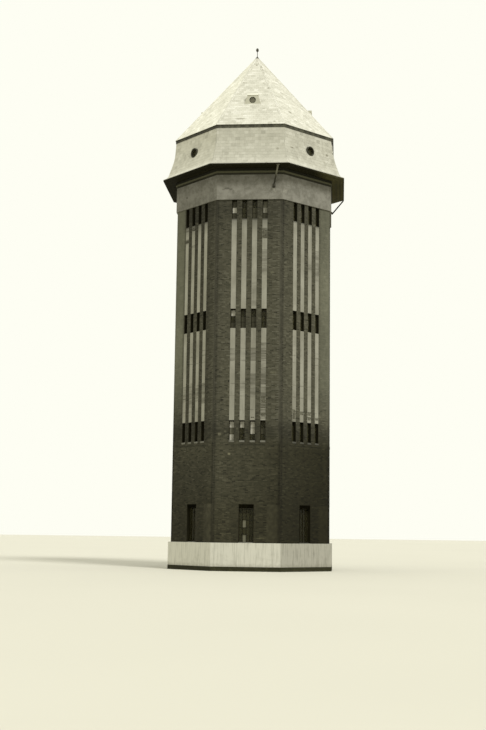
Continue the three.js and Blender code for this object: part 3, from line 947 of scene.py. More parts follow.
@dataclass(frozen=True)
class SlateFinish(Finish):
    """Small fibre-cement slates. Each slate's tone comes from its mesh."""

    dull: Colour = tint(147, 145, 131)
    plain: Colour = tint(164, 162, 147)
    clean: Colour = tint(179, 177, 163)
    dirt: Colour = tint(112, 108, 92)
    dirt_share: float = 0.30
    # Painted highlight towards the foot of the skirt, in the pale colour below.
    foot_highlight: Span = (29.0, 28.2)
    foot_highlight_share: float = 0.22
    bleached: Colour = tint(204, 202, 189)
    # Painted highlight on the faces beyond the front's left hip.
    highlight_side: Span = (-0.02, 0.14)
    highlight_gain: float = 0.30
    cloud_share: float = 0.7
    grain_share: float = 0.3
    spot_share: float = 0.7
    spots: tuple[Spot, ...] = (
        Spot(FRONT_RIGHT, -1.76, 29.54, 5.885, 0.44, 0.15, 1.1),
        Spot(FRONT_RIGHT, -1.28, 29.65, 5.862, 0.42, 0.13, 0.6),
        Spot(FRONT_RIGHT, 1.71, 29.73, 5.848, 0.32, 0.27, 1.1),
        Spot(FRONT, 1.93, 29.30, 5.95, 0.26, 0.26, 0.7),
        Spot(FRONT, 1.20, 28.13, 6.54, 0.26, 0.22, 0.9),
        Spot(FRONT, 1.05, 34.94, 2.84, 0.34, 0.36, 1.0),
        Spot(FRONT, 0.82, 32.76, 4.56, 0.26, 0.22, 0.6),
        Spot(FRONT, -0.80, 35.59, 2.33, 0.30, 0.32, 0.5),
        Spot(FRONT, 0.69, 35.47, 2.43, 0.24, 0.26, 0.5),
        Spot(FRONT, 1.68, 31.41, 5.62, 0.26, 0.24, 1.0),
        Spot(FRONT, -0.80, 31.71, 5.38, 1.00, 0.19, 1.2),
        Spot(FRONT_RIGHT, -0.79, 32.71, 4.60, 0.40, 0.40, 1.3),
        Spot(FRONT, 0.02, 37.58, 0.77, 0.22, 0.36, 1.3),
        Spot(FRONT, 0.40, 37.33, 0.97, 0.26, 0.44, 1.1),
        Spot(FRONT, 0.51, 37.00, 1.23, 0.26, 0.44, 1.0),
        Spot(FRONT, 0.60, 36.70, 1.46, 0.22, 0.44, 0.6),
        Spot(3, 0.60, 33.40, 4.05, 0.34, 0.34, 1.0),
        Spot(5, -1.10, 32.20, 4.99, 0.50, 0.16, 0.9),
    )
    # Painted shade down the drum's corners under the eave.
    eave_corner_shade: tuple[Spot, ...] = (
        Spot(FRONT_RIGHT, 2.33, 30.95, 5.745, 0.30, 0.80, 0.80),
        Spot(FRONT_RIGHT, 2.35, 30.45, 5.765, 0.16, 1.00, 0.55),
        Spot(FRONT_RIGHT, 2.34, 30.00, 5.805, 0.18, 0.18, 0.60),
        Spot(4, 2.33, 30.80, 5.750, 0.24, 0.70, 0.70),
    )

    def shade(self, shader: Shader) -> None:
        """Writes the slates into a new material's tree.

        Args:
            shader: The tree.
        """
        grain = shader.noise(55.0, 4.0)
        clouds = shader.noise(0.8, 4.0)
        streaks = shader.streaks(4.0, 8.0)
        spots = shader.noise(5.5, 5.0, roughness=0.7, shift=4.0).ramp(0.66, 0.78)
        value = shader.attribute(TONE) + (clouds - 0.5) * self.cloud_share
        value = value + (grain - 0.5) * self.grain_share
        stops = ((0.1, self.dull), (0.5, self.plain), (0.9, self.clean))
        dirt = (streaks.ramp(0.52, 0.80) + spots) * self.dirt_share
        # Painted highlight beyond the left hip, and at the foot of the skirt.
        side = shader.left_of_hip().ramp(*self.highlight_side) * self.highlight_gain
        foot = shader.height.ramp(*self.foot_highlight) * self.foot_highlight_share
        colour = shader.blend(shader.colours(value, stops), self.bleached, foot)
        dirt = dirt + all_of(shader, self.spots) * self.spot_share
        colour = shader.blend(colour, self.dirt, dirt)
        # Painted shade at the eave's corners, and the painted highlight beyond the left hip.
        colour = shader.dimmed(colour, (1 - all_of(shader, self.eave_corner_shade)) * (1 + side))
        shader.surface(colour, 0.72 + grain * 0.15, grain, 0.0015)


@dataclass(frozen=True)
class PaintedMetalFinish(Finish):
    """Painted sheet or iron with chalking and rust."""

    paint: Colour = tint(50, 49, 36)
    chalk: Colour = tint(74, 73, 58)
    rust: Colour = tint(58, 42, 26)
    rust_share: float = 0.5
    metallic: float = 0.2
    roughness: float = 0.55
    shine: float = 0.3

    def shade(self, shader: Shader) -> None:
        """Writes the metal into a new material's tree.

        Args:
            shader: The tree.
        """
        grain = shader.noise(60.0, 4.0)
        chalk = shader.noise(3.0, 4.0, (1.0, 1.0, 0.4)).ramp(0.42, 0.68)
        rust = shader.noise(9.0, 5.0, roughness=0.7, shift=6.0).ramp(0.56, 0.70) * self.rust_share
        colour = shader.blend(shader.blend(self.paint, self.chalk, chalk), self.rust, rust)
        rough = self.roughness + chalk * 0.15 + rust * 0.25
        relief = grain + rust * 2
        shader.surface(colour, rough, relief, 0.001, self.shine, Metallic=self.metallic)


@dataclass(frozen=True)
class StrutFinish(Finish):
    """Paint of the strut, with dark chips.

    Painted light makes it lighter at its head, and painted shade darker towards its foot.
    """

    pale: Colour = tint(96, 94, 78)
    # Painted shade towards the foot, in this colour.
    darker: Colour = tint(38, 37, 24)
    reach: Span = (27.55, 27.15)

    def shade(self, shader: Shader) -> None:
        """Writes the paint into a new material's tree.

        Args:
            shader: The tree.
        """
        grain = shader.noise(60.0, 4.0)
        chips = shader.noise(9.0, 5.0, roughness=0.7).ramp(0.56, 0.70)
        # Painted shade towards the foot, with dark chips.
        shade_and_marks = shader.height.ramp(*self.reach) + chips * 0.4
        shader.surface(shader.blend(self.pale, self.darker, shade_and_marks), 0.7, grain + chips, 0.001)


@dataclass(frozen=True)
class GlassFinish(Finish):
    """Old window glass before a dark room, with patchy dust.

    Its dark colour is painted shade of the room behind it, and painted shade darkens the ground
    windows, more so towards the right.
    """

    dark: Colour = tint(54, 52, 33)
    dust: Colour = tint(74, 72, 54)
    dust_share: float = 0.4
    # Painted shade on the ground windows, more so towards the right.
    low_reach: Span = (6.0, 5.0)
    dim_side: Span = (1.0, 2.4)
    dimming: float = 0.3
    opacity: float = 0.88
    shine: float = 0.10

    def shade(self, shader: Shader) -> None:
        """Writes the glass into a new material's tree.

        Args:
            shader: The tree.
        """
        haze = shader.noise(6.0, 4.0, roughness=0.6).ramp(0.45, 0.75)
        waves = shader.noise(3.0, 1.0)
        # Painted shade on the ground windows.
        side = shader.x.ramp(*self.dim_side) * self.dimming + self.dimming
        low = shader.height.ramp(*self.low_reach) * side
        colour = shader.blend(self.dark, self.dust, haze * self.dust_share)
        colour = shader.dimmed(colour, 1 - low)
        rough = 0.10 + haze * 0.35
        shader.surface(colour, rough, waves, 0.004, self.shine, Alpha=self.opacity)


@dataclass(frozen=True)
class PaneFinish(Finish):
    """Panes that aren't clear: dusty, boarded or limewashed, by the tone of the mesh."""

    dusty: Colour = tint(64, 62, 47)
    boarded: Colour = tint(68, 66, 50)
    grey: Colour = tint(94, 92, 76)
    limed: Colour = tint(170, 167, 152)

    def shade(self, shader: Shader) -> None:
        """Writes the panes into a new material's tree.

        Args:
            shader: The tree.
        """
        smears = shader.noise(11.0, 4.0, (1.0, 1.0, 0.4), 0.6)
        tone = shader.attribute(TONE)
        stops = ((0.1, self.dusty), (0.4, self.boarded), (0.7, self.grey), (0.95, self.limed))
        colour = shader.dimmed(shader.colours(tone, stops), 0.75 + smears * 0.5)
        shader.surface(colour, 0.3 + tone * 0.4, smears, 0.001, 0.12)


@dataclass(frozen=True)
class CementFinish(Finish):
    """Pale cement of the sloping sills, darker where water stands."""

    pale: Colour = tint(150, 148, 133)
    wet: Colour = tint(102, 100, 84)
    wet_share: float = 0.7

    def shade(self, shader: Shader) -> None:
        """Writes the cement into a new material's tree.

        Args:
            shader: The tree.
        """
        grain = shader.noise(50.0, 4.0)
        stains = shader.noise(4.0, 4.0, roughness=0.6).ramp(0.48, 0.72)
        colour = shader.blend(self.pale, self.wet, stains * self.wet_share)
        shader.surface(SillDarkening().lay(shader, colour), 0.9, grain, 0.002, 0.15)


@dataclass(frozen=True)
class FloorFinish(Finish):
    """The plain pale floor."""

    pale: Colour = tint(196, 193, 178)

    def shade(self, shader: Shader) -> None:
        """Writes the floor into a new material's tree."""
        clouds = shader.noise(0.05, 2.0)
        shader.surface(shader.dimmed(self.pale, 0.97 + clouds * 0.06), 0.9)


BRICK = BrickFinish("Weathered brick", "brick")
MORTAR = MortarFinish("Sooty mortar", "brick")
STRIP_PLASTER = PlasterFinish("Coarse plaster", "plaster")
RENDER = FriezeFinish("Stained render", "frieze_render")
LIMEWASH = LimewashFinish("Streaky limewash", "limewashed_masonry")
TAR = TarFinish("Dusty tar", "tarred_masonry")
CONCRETE = ConcreteFinish("Cast floor", "concrete")
BOARDS = BoardFinish("Stained boards", "soffit_boards")
# Drum and roof slates get a painted highlight beyond the front's left hip, wider and stronger on the roof.
TANK_SLATE = SlateFinish("Tank house slates", "tank_house_slates")
ROOF_SLATE = SlateFinish(
    "Roof slates", "roof_slates",
    dull=tint(174, 172, 157), plain=tint(188, 186, 171), clean=tint(202, 200, 187),
    dirt=tint(140, 137, 120), dirt_share=0.22,
    highlight_side=(-0.02, 0.22), highlight_gain=0.32,
)
DORMER_BOARD = SlateFinish(
    "Dormer boards", "tank_house_slates",
    dull=tint(168, 166, 148), plain=tint(180, 178, 160), clean=tint(192, 190, 173),
    highlight_gain=0.0,
)
LID_SHEET = SlateFinish(
    "Dormer lid sheet", "roof_slates",
    dull=tint(216, 215, 200), plain=tint(226, 225, 211), clean=tint(232, 231, 218),
    dirt=tint(180, 178, 160), dirt_share=0.12, highlight_gain=0.0,
)
LOUVRES = PaintedMetalFinish(
    "Louvre paint", "dark_metal",
    paint=tint(112, 110, 92), chalk=tint(136, 134, 116), rust_share=0.2, metallic=0.0, shine=0.1,
)
DARK_METAL = PaintedMetalFinish("Dark sheet", "dark_metal")
IRON = PaintedMetalFinish(
    "Old ironwork", "ironwork",
    paint=tint(54, 53, 43), chalk=tint(84, 82, 69), rust_share=0.6, metallic=0.3,
)
STRUT = StrutFinish("Strut paint", "ironwork")
STAY = PaintedMetalFinish(
    "Stay paint", "ironwork",
    paint=tint(26, 25, 14), chalk=tint(38, 36, 24), metallic=0.0, shine=0.06,
)
JOINERY = PaintedMetalFinish(
    "Dark window paint", "ironwork",
    paint=tint(28, 26, 13), chalk=tint(38, 36, 21), rust_share=0.1, metallic=0.0, roughness=0.8,
    shine=0.1,
)
# Black paint for the boxes that paint the shadow under the heads of the ground windows.
HEAD_SHADOW_PAINT = PaintedMetalFinish(
    "Painted head shadow", "ironwork",
    paint=tint(6, 5, 1), chalk=tint(12, 11, 4), rust_share=0.0, metallic=0.0, roughness=0.9,
    shine=0.02,
)
GLAZING = GlassFinish("Window glass", "window_glass")
DULL_PANES = PaneFinish("Dull panes", "window_glass")
CEMENT = CementFinish("Sill cement", "plaster")
FLOOR = FloorFinish("Pale floor", "concrete")


# Mesh stock

# Corners 0 to 3 are a block's back and 4 to 7 its front, anticlockwise from the lower left.
BLOCK_FACES = np.array(
    [[4, 5, 6, 7], [0, 3, 2, 1], [4, 0, 1, 5], [7, 6, 2, 3], [4, 7, 3, 0], [5, 1, 2, 6]]
)
CORNERS = 8
# On a map, the sides and the back of a block are drawn in, so that its front has most of the room.
SIDE_PULL, BACK_PULL = 0.3, 0.9
BLOCK_PULL = np.where(BLOCK_FACES < CORNERS / 2, SIDE_PULL, 0.0)
BLOCK_PULL[1] = BACK_PULL
SHEET_PITCH = 6.0
SHARP_ANGLE = math.radians(35)


def blocks(
    x: tuple[Any, Any], apothem: tuple[Any, Any], z: tuple[Any, Any], taper: float = 0.0
) -> np.ndarray:
    """Makes six-sided blocks on the front face.

    Args:
        x: Left and right edge of each block, as numbers or arrays.
        apothem: Its back and its front.
        z: Its foot and its head.
        taper: How much smaller its front is on each edge.

    Returns:
        The blocks' corners, in an array of shape (blocks, 8, 3).
    """
    left, right, back, front, foot, head = (
        np.atleast_1d(v) for v in np.broadcast_arrays(*x, *apothem, *z)
    )
    rear = [(left, foot), (right, foot), (right, head), (left, head)]
    face = [
        (left + taper, foot + taper), (right - taper, foot + taper),
        (right - taper, head - taper), (left + taper, head - taper),
    ]
    corners = [np.stack([a, -back, b], -1) for a, b in rear]
    corners += [np.stack([a, -front, b], -1) for a, b in face]
    return np.stack(corners, 1).astype(float)


def mitred(apothem: Span, z: Span, gap: float = 0.0) -> np.ndarray:
    """Makes one block as wide as its face, mitred at both corners of the octagon.

    Args:
        apothem: Its back and its front.
        z: Its foot and its head.
        gap: How far it stays from the corner.

    Returns:
        The block's corners.
    """
    made = blocks((-1.0, 1.0), apothem, z)
    made[:, :, 0] *= -made[:, :, 1] * FLARE - gap
    return made


def turned(points: np.ndarray, face: float) -> np.ndarray:
    """Turns points of the front face to another face.

    Args:
        points: The points.
        face: The number of the other face.

    Returns:
        The turned points.
    """
    angle = face * FACE_ANGLE
    cos, sin = math.cos(angle), math.sin(angle)
    turn = np.array([[cos, sin, 0.0], [-sin, cos, 0.0], [0.0, 0.0, 1.0]])
    return points @ turn


def outward(face: int, apothem: float, height: float, x: float = 0.0) -> Matrix:
    """Places a round piece whose own +Z points out of a face.

    Args:
        face: The face's number.
        apothem: How far out the piece stands.
        height: Its height.
        x: Its place along the face.

    Returns:
        The matrix from the piece's own frame to the tower's.
    """
    return (
        Matrix.Rotation(face * FACE_ANGLE, 4, "Z")
        @ Matrix.Translation((x, -apothem, height))
        @ Matrix.Rotation(math.pi / 2, 4, "X")
    )


def placed(name: str, data: bpy.types.ID) -> bpy.types.Object:
    """Makes an object and puts it into the scene.

    Args:
        name: The object's name.
        data: Its mesh, camera or light.

    Returns:
        The object.
    """
    made = bpy.data.objects.new(name, data)
    bpy.context.scene.collection.objects.link(made)
    return made


class Stock:
    """Closed shapes joined into one piece, with a tone for each of their faces."""

    def __init__(self) -> None:
        """Starts with nothing."""
        self._points: list[np.ndarray] = []
        self._loops: list[np.ndarray] = []
        self._sizes: list[np.ndarray] = []
        self._tones: list[np.ndarray] = []
        self._sheets: list[np.ndarray] = []
        self._count = 0

    def _keep(self, points: np.ndarray, faces: np.ndarray, tones: np.ndarray) -> None:
        """Adds points and faces.

        Args:
            points: The points.
            faces: The faces, which all have as many corners.
            tones: A tone for each face.
        """
        if len(points):
            self._points.append(points)
            self._count += len(points)
        self._loops.append(faces.ravel())
        self._sizes.append(np.full(len(faces), faces.shape[1]))
        self._tones.append(tones)

    def add(self, corners: np.ndarray, face: float = FRONT, tones: np.ndarray | float = MID_TONE) -> None:
        """Adds blocks made on the front face.

        Args:
            corners: The blocks, as blocks() returns them.
            face: The face that they are turned to.
            tones: One tone for all blocks, or one for each.
        """
        count = len(corners)
        faces = self._count + np.arange(count)[:, None, None] * CORNERS + BLOCK_FACES
        sheet = corners[:, :, (0, 2)] + (face * SHEET_PITCH, 0.0)
        middle = sheet.mean(1)[:, None, None]
        places = sheet[:, BLOCK_FACES]
        self._sheets.append((places + (middle - places) * BLOCK_PULL[..., None]).reshape(-1, 2))
        tone = np.repeat(np.broadcast_to(tones, count), len(BLOCK_FACES))
        self._keep(turned(corners, face).reshape(-1, 3), faces.reshape(-1, 4), tone)

    def lathe(
        self, profile: Sequence[Span], sides: int, place: Matrix, closed: bool = True
    ) -> None:
        """Adds a turned shape.

        Args:
            profile: Its outline as radius and height, anticlockwise, or upwards if it is open.
            sides: Number of sides.
            place: From the shape's own frame, with its axis along Z, to the tower's.
            closed: Whether the outline is a ring. An open one gets a flat cap at each end.
        """
        radius, height = np.array(profile).T
        angle = np.arange(sides) * 2 * math.pi / sides
        rows = len(profile)
        heights = np.repeat(height[:, None], sides, 1)
        across = (radius[:, None] * turn for turn in (np.cos(angle), np.sin(angle)))
        grid = np.stack([*across, heights], -1).reshape(-1, 3)
        rotation = np.array(place.to_3x3())
        points = grid @ rotation.T + np.array(place.translation)
        row, side = np.meshgrid(np.arange(rows if closed else rows - 1), np.arange(sides), indexing="ij")
        above, beside = (row + 1) % rows, (side + 1) % sides
        quads = np.stack(
            [row * sides + side, row * sides + beside, above * sides + beside, above * sides + side], -1
        ).reshape(-1, 4)
        start = self._count
        self._keep(points, quads + start, np.full(len(quads), MID_TONE))
        if not closed:
            caps = np.stack([np.arange(sides)[::-1], (rows - 1) * sides + np.arange(sides)])
            self._keep(np.empty((0, 3)), caps + start, np.full(2, MID_TONE))

    def piece(self, name: str, finish: Finish, mapped: bool = False, smooth: bool = False) -> None:
        """Makes the piece, which rides on the tower.

        Args:
            name: The piece's name.
            finish: Its finish.
            mapped: Whether it carries a map laid out by place, for a piece made only of blocks.
            smooth: Whether round shapes are shaded smooth.
        """
        points = np.concatenate(self._points).astype(np.float32)
        loops, sizes = np.concatenate(self._loops), np.concatenate(self._sizes)
        mesh = bpy.data.meshes.new(name)
        mesh.vertices.add(len(points))
        mesh.vertices.foreach_set("co", points.ravel())
        mesh.loops.add(len(loops))
        mesh.loops.foreach_set("vertex_index", loops.astype(np.int32))
        mesh.polygons.add(len(sizes))
        mesh.polygons.foreach_set("loop_start", (np.cumsum(sizes) - sizes).astype(np.int32))
        mesh.update(calc_edges=True)
        tones = mesh.attributes.new(TONE, "FLOAT", "FACE")
        tones.data.foreach_set("value", np.concatenate(self._tones).astype(np.float32))
        if mapped:
            sheet = np.concatenate(self._sheets)
            low, high = sheet.min(0), sheet.max(0)
            layer = mesh.uv_layers.new(name=BAKE_MAP)
            layer.uv.foreach_set("vector", ((sheet - low) / (high - low)).astype(np.float32).ravel())
        if smooth:
            mesh.shade_smooth()
            mesh.set_sharp_from_angle(angle=SHARP_ANGLE)
        else:
            mesh.shade_flat()
        mesh.materials.append(finish.material())
        made = placed(name, mesh)
        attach(made, "root")
        LOG.info("%s: %d faces", name, len(sizes))


# Brickwork


@dataclass(frozen=True)
class Opening:
    """A rectangle of the front face where no brick is laid."""

    left: float
    right: float
    foot: float
    head: float


@dataclass
class BrickCoat:
    """The bricks of the outer leaf, laid course by course round slots and windows."""

    length: float = 0.240
    height: float = 0.071
    joint: float = 0.010
    bed: float = 0.0123
    proud: float = 0.006
    chamfer: float = 0.003
    jitter: float = 0.0012
    corner_gap: float = 0.012
    narrowest: float = 0.035
    header_every: int = 6
    tone_spread: float = 0.14
    burnt_share: float = 0.04
    burnt_tone: float = 0.05
    # A darker course of bricks under the low sills.
    dark_course: float = SLOT_FOOT - 0.2
    dark_course_reach: float = 1.5 * SLOT_PITCH + SLOT_WIDTH
    dark_course_drop: float = 0.35

    def __post_init__(self) -> None:
        """Finds the openings of a face."""
        cuts = [(centre, SLOT_WIDTH, SLOT_FOOT, WALL_HEAD) for centre in SLOT_CENTRES]
        cuts.append((0.0, GROUND_WIDTH, WALL_FOOT, WindowRow.GROUND.head))
        self.openings = [Opening(x - width / 2, x + width / 2, *z) for x, width, *z in cuts]

    def courses(self) -> Iterator[tuple[int, float, float]]:
        """Sets out the courses, which are cut where an opening starts or ends.

        Yields:
            The number, foot and head of each course.
        """
        edges = sorted({e for o in self.openings for e in (o.foot, o.head)})
        pitch = self.height + self.bed
        for number in range(int((WALL_HEAD - WALL_FOOT) / pitch)):
            foot = WALL_FOOT + self.bed / 2 + number * pitch
            cuts = [e for e in edges if foot < e < foot + self.height]
            for low, high in itertools.pairwise([foot, *cuts, foot + self.height]):
                yield number, low, high

    def spans(self, foot: float, head: float) -> list[Triple]:
        """Finds the stretches of wall in a course.

        Args:
            foot: Foot of the course.
            head: Head of the course.

        Returns:
            Left and right edge of each stretch, and the edge that its bond starts from.
        """
        end = WALL * FLARE - self.corner_gap
        middle = (foot + head) / 2
        cut = sorted((o.left, o.right) for o in self.openings if o.foot < middle < o.head)
        if not cut:
            return [(-end, end, 0.0)]
        lefts = [-end, *(right for _, right in cut)]
        rights = [*(left for left, _ in cut), end]
        anchors = [rights[0], *lefts[1:]]
        return list(zip(lefts, rights, anchors, strict=True))

    def bond(self, number: int, span: Triple) -> np.ndarray:
        """Lays the bricks of one stretch.

        Args:
            number: The course's number.
            span: The stretch's edges and the edge that its bond starts from.

        Returns:
            Left and right edge of each brick.
        """
        left, right, anchor = span
        header = number % self.header_every == self.header_every - 1
        length = (self.length - self.joint) / 2 if header else self.length
        pitch = length + self.joint
        shift = 0.0 if header or number % 2 else pitch / 2
        first = math.floor((left - anchor) / pitch) - 1
        starts = anchor + shift + self.joint / 2 + np.arange(first, -first + 2) * pitch
        low, high = np.maximum(starts, left), np.minimum(starts + length, right)
        kept = high - low > self.narrowest
        return np.stack([low[kept], high[kept]])

    def face_blocks(self) -> tuple[np.ndarray, np.ndarray]:
        """Lays the bricks of one face.

        Returns:
            The bricks, and the middle of each along the face and in height.
        """
        rows = []
        for number, foot, head in self.courses():
            for span in self.spans(foot, head):
                low, high = self.bond(number, span)
                rows.append(np.stack([low, high, np.full_like(low, foot), np.full_like(low, head)]))
        left, right, foot, head = np.concatenate(rows, 1)
        made = blocks((left, right), (WALL - OVERLAP, WALL + self.proud), (foot, head), self.chamfer)
        return made, np.stack([(left + right) / 2, (foot + head) / 2], -1)

    def tones(self, rng: np.random.Generator, middles: np.ndarray) -> np.ndarray:
        """Chooses each brick's tone.

        Args:
            rng: Source of random numbers.
            middles: The bricks' middles along the face and in height.

        Returns:
            The tones.
        """
        tones = rng.normal(MID_TONE, self.tone_spread, len(middles))
        tones[rng.random(len(middles)) < self.burnt_share] = self.burnt_tone
        away = np.abs(middles - (0.0, self.dark_course))
        tones[np.all(away < (self.dark_course_reach, self.height / 2), axis=1)] -= self.dark_course_drop
        return np.clip(tones, 0.0, 1.0)

    def build(self) -> None:
        """Builds and dresses the bricks of all faces, and the mortar behind them."""
        made, middles = self.face_blocks()
        for face, face_name in enumerate(FACE_NAMES):
            rng = np.random.default_rng(SEED + face)
            rough = made.copy()
            rough[:, 4:] += rng.normal(0.0, self.jitter, rough[:, 4:].shape)
            stock = Stock()
            stock.add(rough, face, self.tones(rng, middles))
            stock.piece(f"bricks_{face_name}", BRICK, mapped=True)
        MORTAR.dress(*(f"brick_facing_{name}" for name in FACE_NAMES))
        STRIP_PLASTER.dress(*(f"infill_wall_{name}" for name in FACE_NAMES))


@dataclass(frozen=True)
class BarePatch:
    """A stretch of a plastered strip where the courses of brick show through."""

    face: int
    slot: int
    foot: float
    head: float
    share: float


@dataclass
class BareCourses:
    """Bricks that show where plaster has fallen from the strips."""

    pitch: float = 0.0833
    bed: float = 0.014
    proud: float = 0.003
    tone: float = 0.62
    tone_spread: float = 0.15
    edge: float = 0.006
    ragged: float = 0.06
    split: Span = (0.35, 0.65)
    chamfer: float = 0.002
    patches: tuple[BarePatch, ...] = (
        BarePatch(FRONT, 3, 10.29, 11.90, 0.55),
        BarePatch(FRONT, 3, 22.95, 23.70, 0.80),
        BarePatch(FRONT, 2, 10.28, 10.45, 0.70),
        BarePatch(FRONT_RIGHT, 0, 10.38, 11.10, 0.85),
        BarePatch(FRONT_RIGHT, 1, 10.62, 11.00, 0.80),
        BarePatch(FRONT_RIGHT, 2, 10.38, 11.00, 0.85),
        BarePatch(FRONT_RIGHT, 3, 10.42, 10.66, 0.70),
        BarePatch(FRONT_LEFT, 0, 23.20, 23.45, 0.80),
        BarePatch(FRONT_LEFT, 1, 24.00, 24.30, 0.80),
        BarePatch(2, 1, 10.30, 11.20, 0.70),
        BarePatch(3, 2, 22.40, 23.30, 0.70),
        BarePatch(4, 0, 10.30, 11.60, 0.60),
        BarePatch(5, 3, 12.00, 12.70, 0.70),
        BarePatch(6, 2, 10.30, 11.10, 0.80),
    )

    def build(self) -> None:
        """Builds and dresses the bare bricks."""
        rng = np.random.default_rng(SEED)
        stock = Stock()
        for patch in self.patches:
            centre = SLOT_CENTRES[patch.slot]
            reach = SLOT_WIDTH / 2 - self.edge
            for foot in np.arange(patch.foot, patch.head - self.pitch, self.pitch):
                if rng.random() > patch.share:
                    continue
                left = centre - reach + rng.random() * self.ragged
                right = centre + reach - rng.random() * self.ragged
                split = left + (right - left) * rng.uniform(*self.split)
                x = (np.array([left, split + self.edge]), np.array([split - self.edge, right]))
                z = (foot, foot + self.pitch - self.bed)
                tones = rng.normal(self.tone, self.tone_spread, 2)
                made = blocks(x, (PLASTER - OVERLAP, PLASTER + self.proud), z, self.chamfer)
                stock.add(made, patch.face, tones)
        stock.piece("bare_bricks", BRICK)


# Windows


class Pane(Enum):
    """What a pane looks like, by its letter and the tone that its finish reads."""

    CLEAR = ("c", 0.0)
    DUSTY = ("d", 0.1)
    BOARDED = ("b", 0.4)
    GREY = ("g", 0.7)
    SMEARED = ("s", 0.79)
    LIMED = ("l", 0.95)

    def __init__(self, letter: str, tone: float) -> None:
        """Keeps the letter and the tone."""
        self.letter = letter
        self.tone = tone


PANES = {pane.letter: pane for pane in Pane}
SEEN_PANES = {
    (FRONT, WindowRow.LOW): "lgl lcc llc cdc",
    (FRONT, WindowRow.MIDDLE): "lcd cdd cdd ccc",
    (FRONT, WindowRow.TOP): "dld ccc cbb gsd",
    (FRONT, WindowRow.GROUND): "ccccc ccgcg ccccc ccccc",
    (FRONT_RIGHT, WindowRow.LOW): "ccc ccc ccc ccc",
    (FRONT_RIGHT, WindowRow.MIDDLE): "ccc dcc cdc ccd",
    (FRONT_RIGHT, WindowRow.TOP): "ccc cdc ccc ccc",
    (FRONT_RIGHT, WindowRow.GROUND): "ccccc ccccc ccccc ccccc",
    (FRONT_LEFT, WindowRow.LOW): "ccc cdc ccc dcc",
    (FRONT_LEFT, WindowRow.MIDDLE): "ccc ccc ccc ccc",
    (FRONT_LEFT, WindowRow.TOP): "ccc ccc ccc ccc",
    (FRONT_LEFT, WindowRow.GROUND): "ccccc ccccc ccccc ccccc",
}


@dataclass
class FaceWindows:
    """Stock that the windows of one face are built of."""

    face: int
    bars: Stock
    sheets: Stock
    # Takes the black boxes that paint the shadow under the ground windows' heads.
    shadow_boxes: Stock


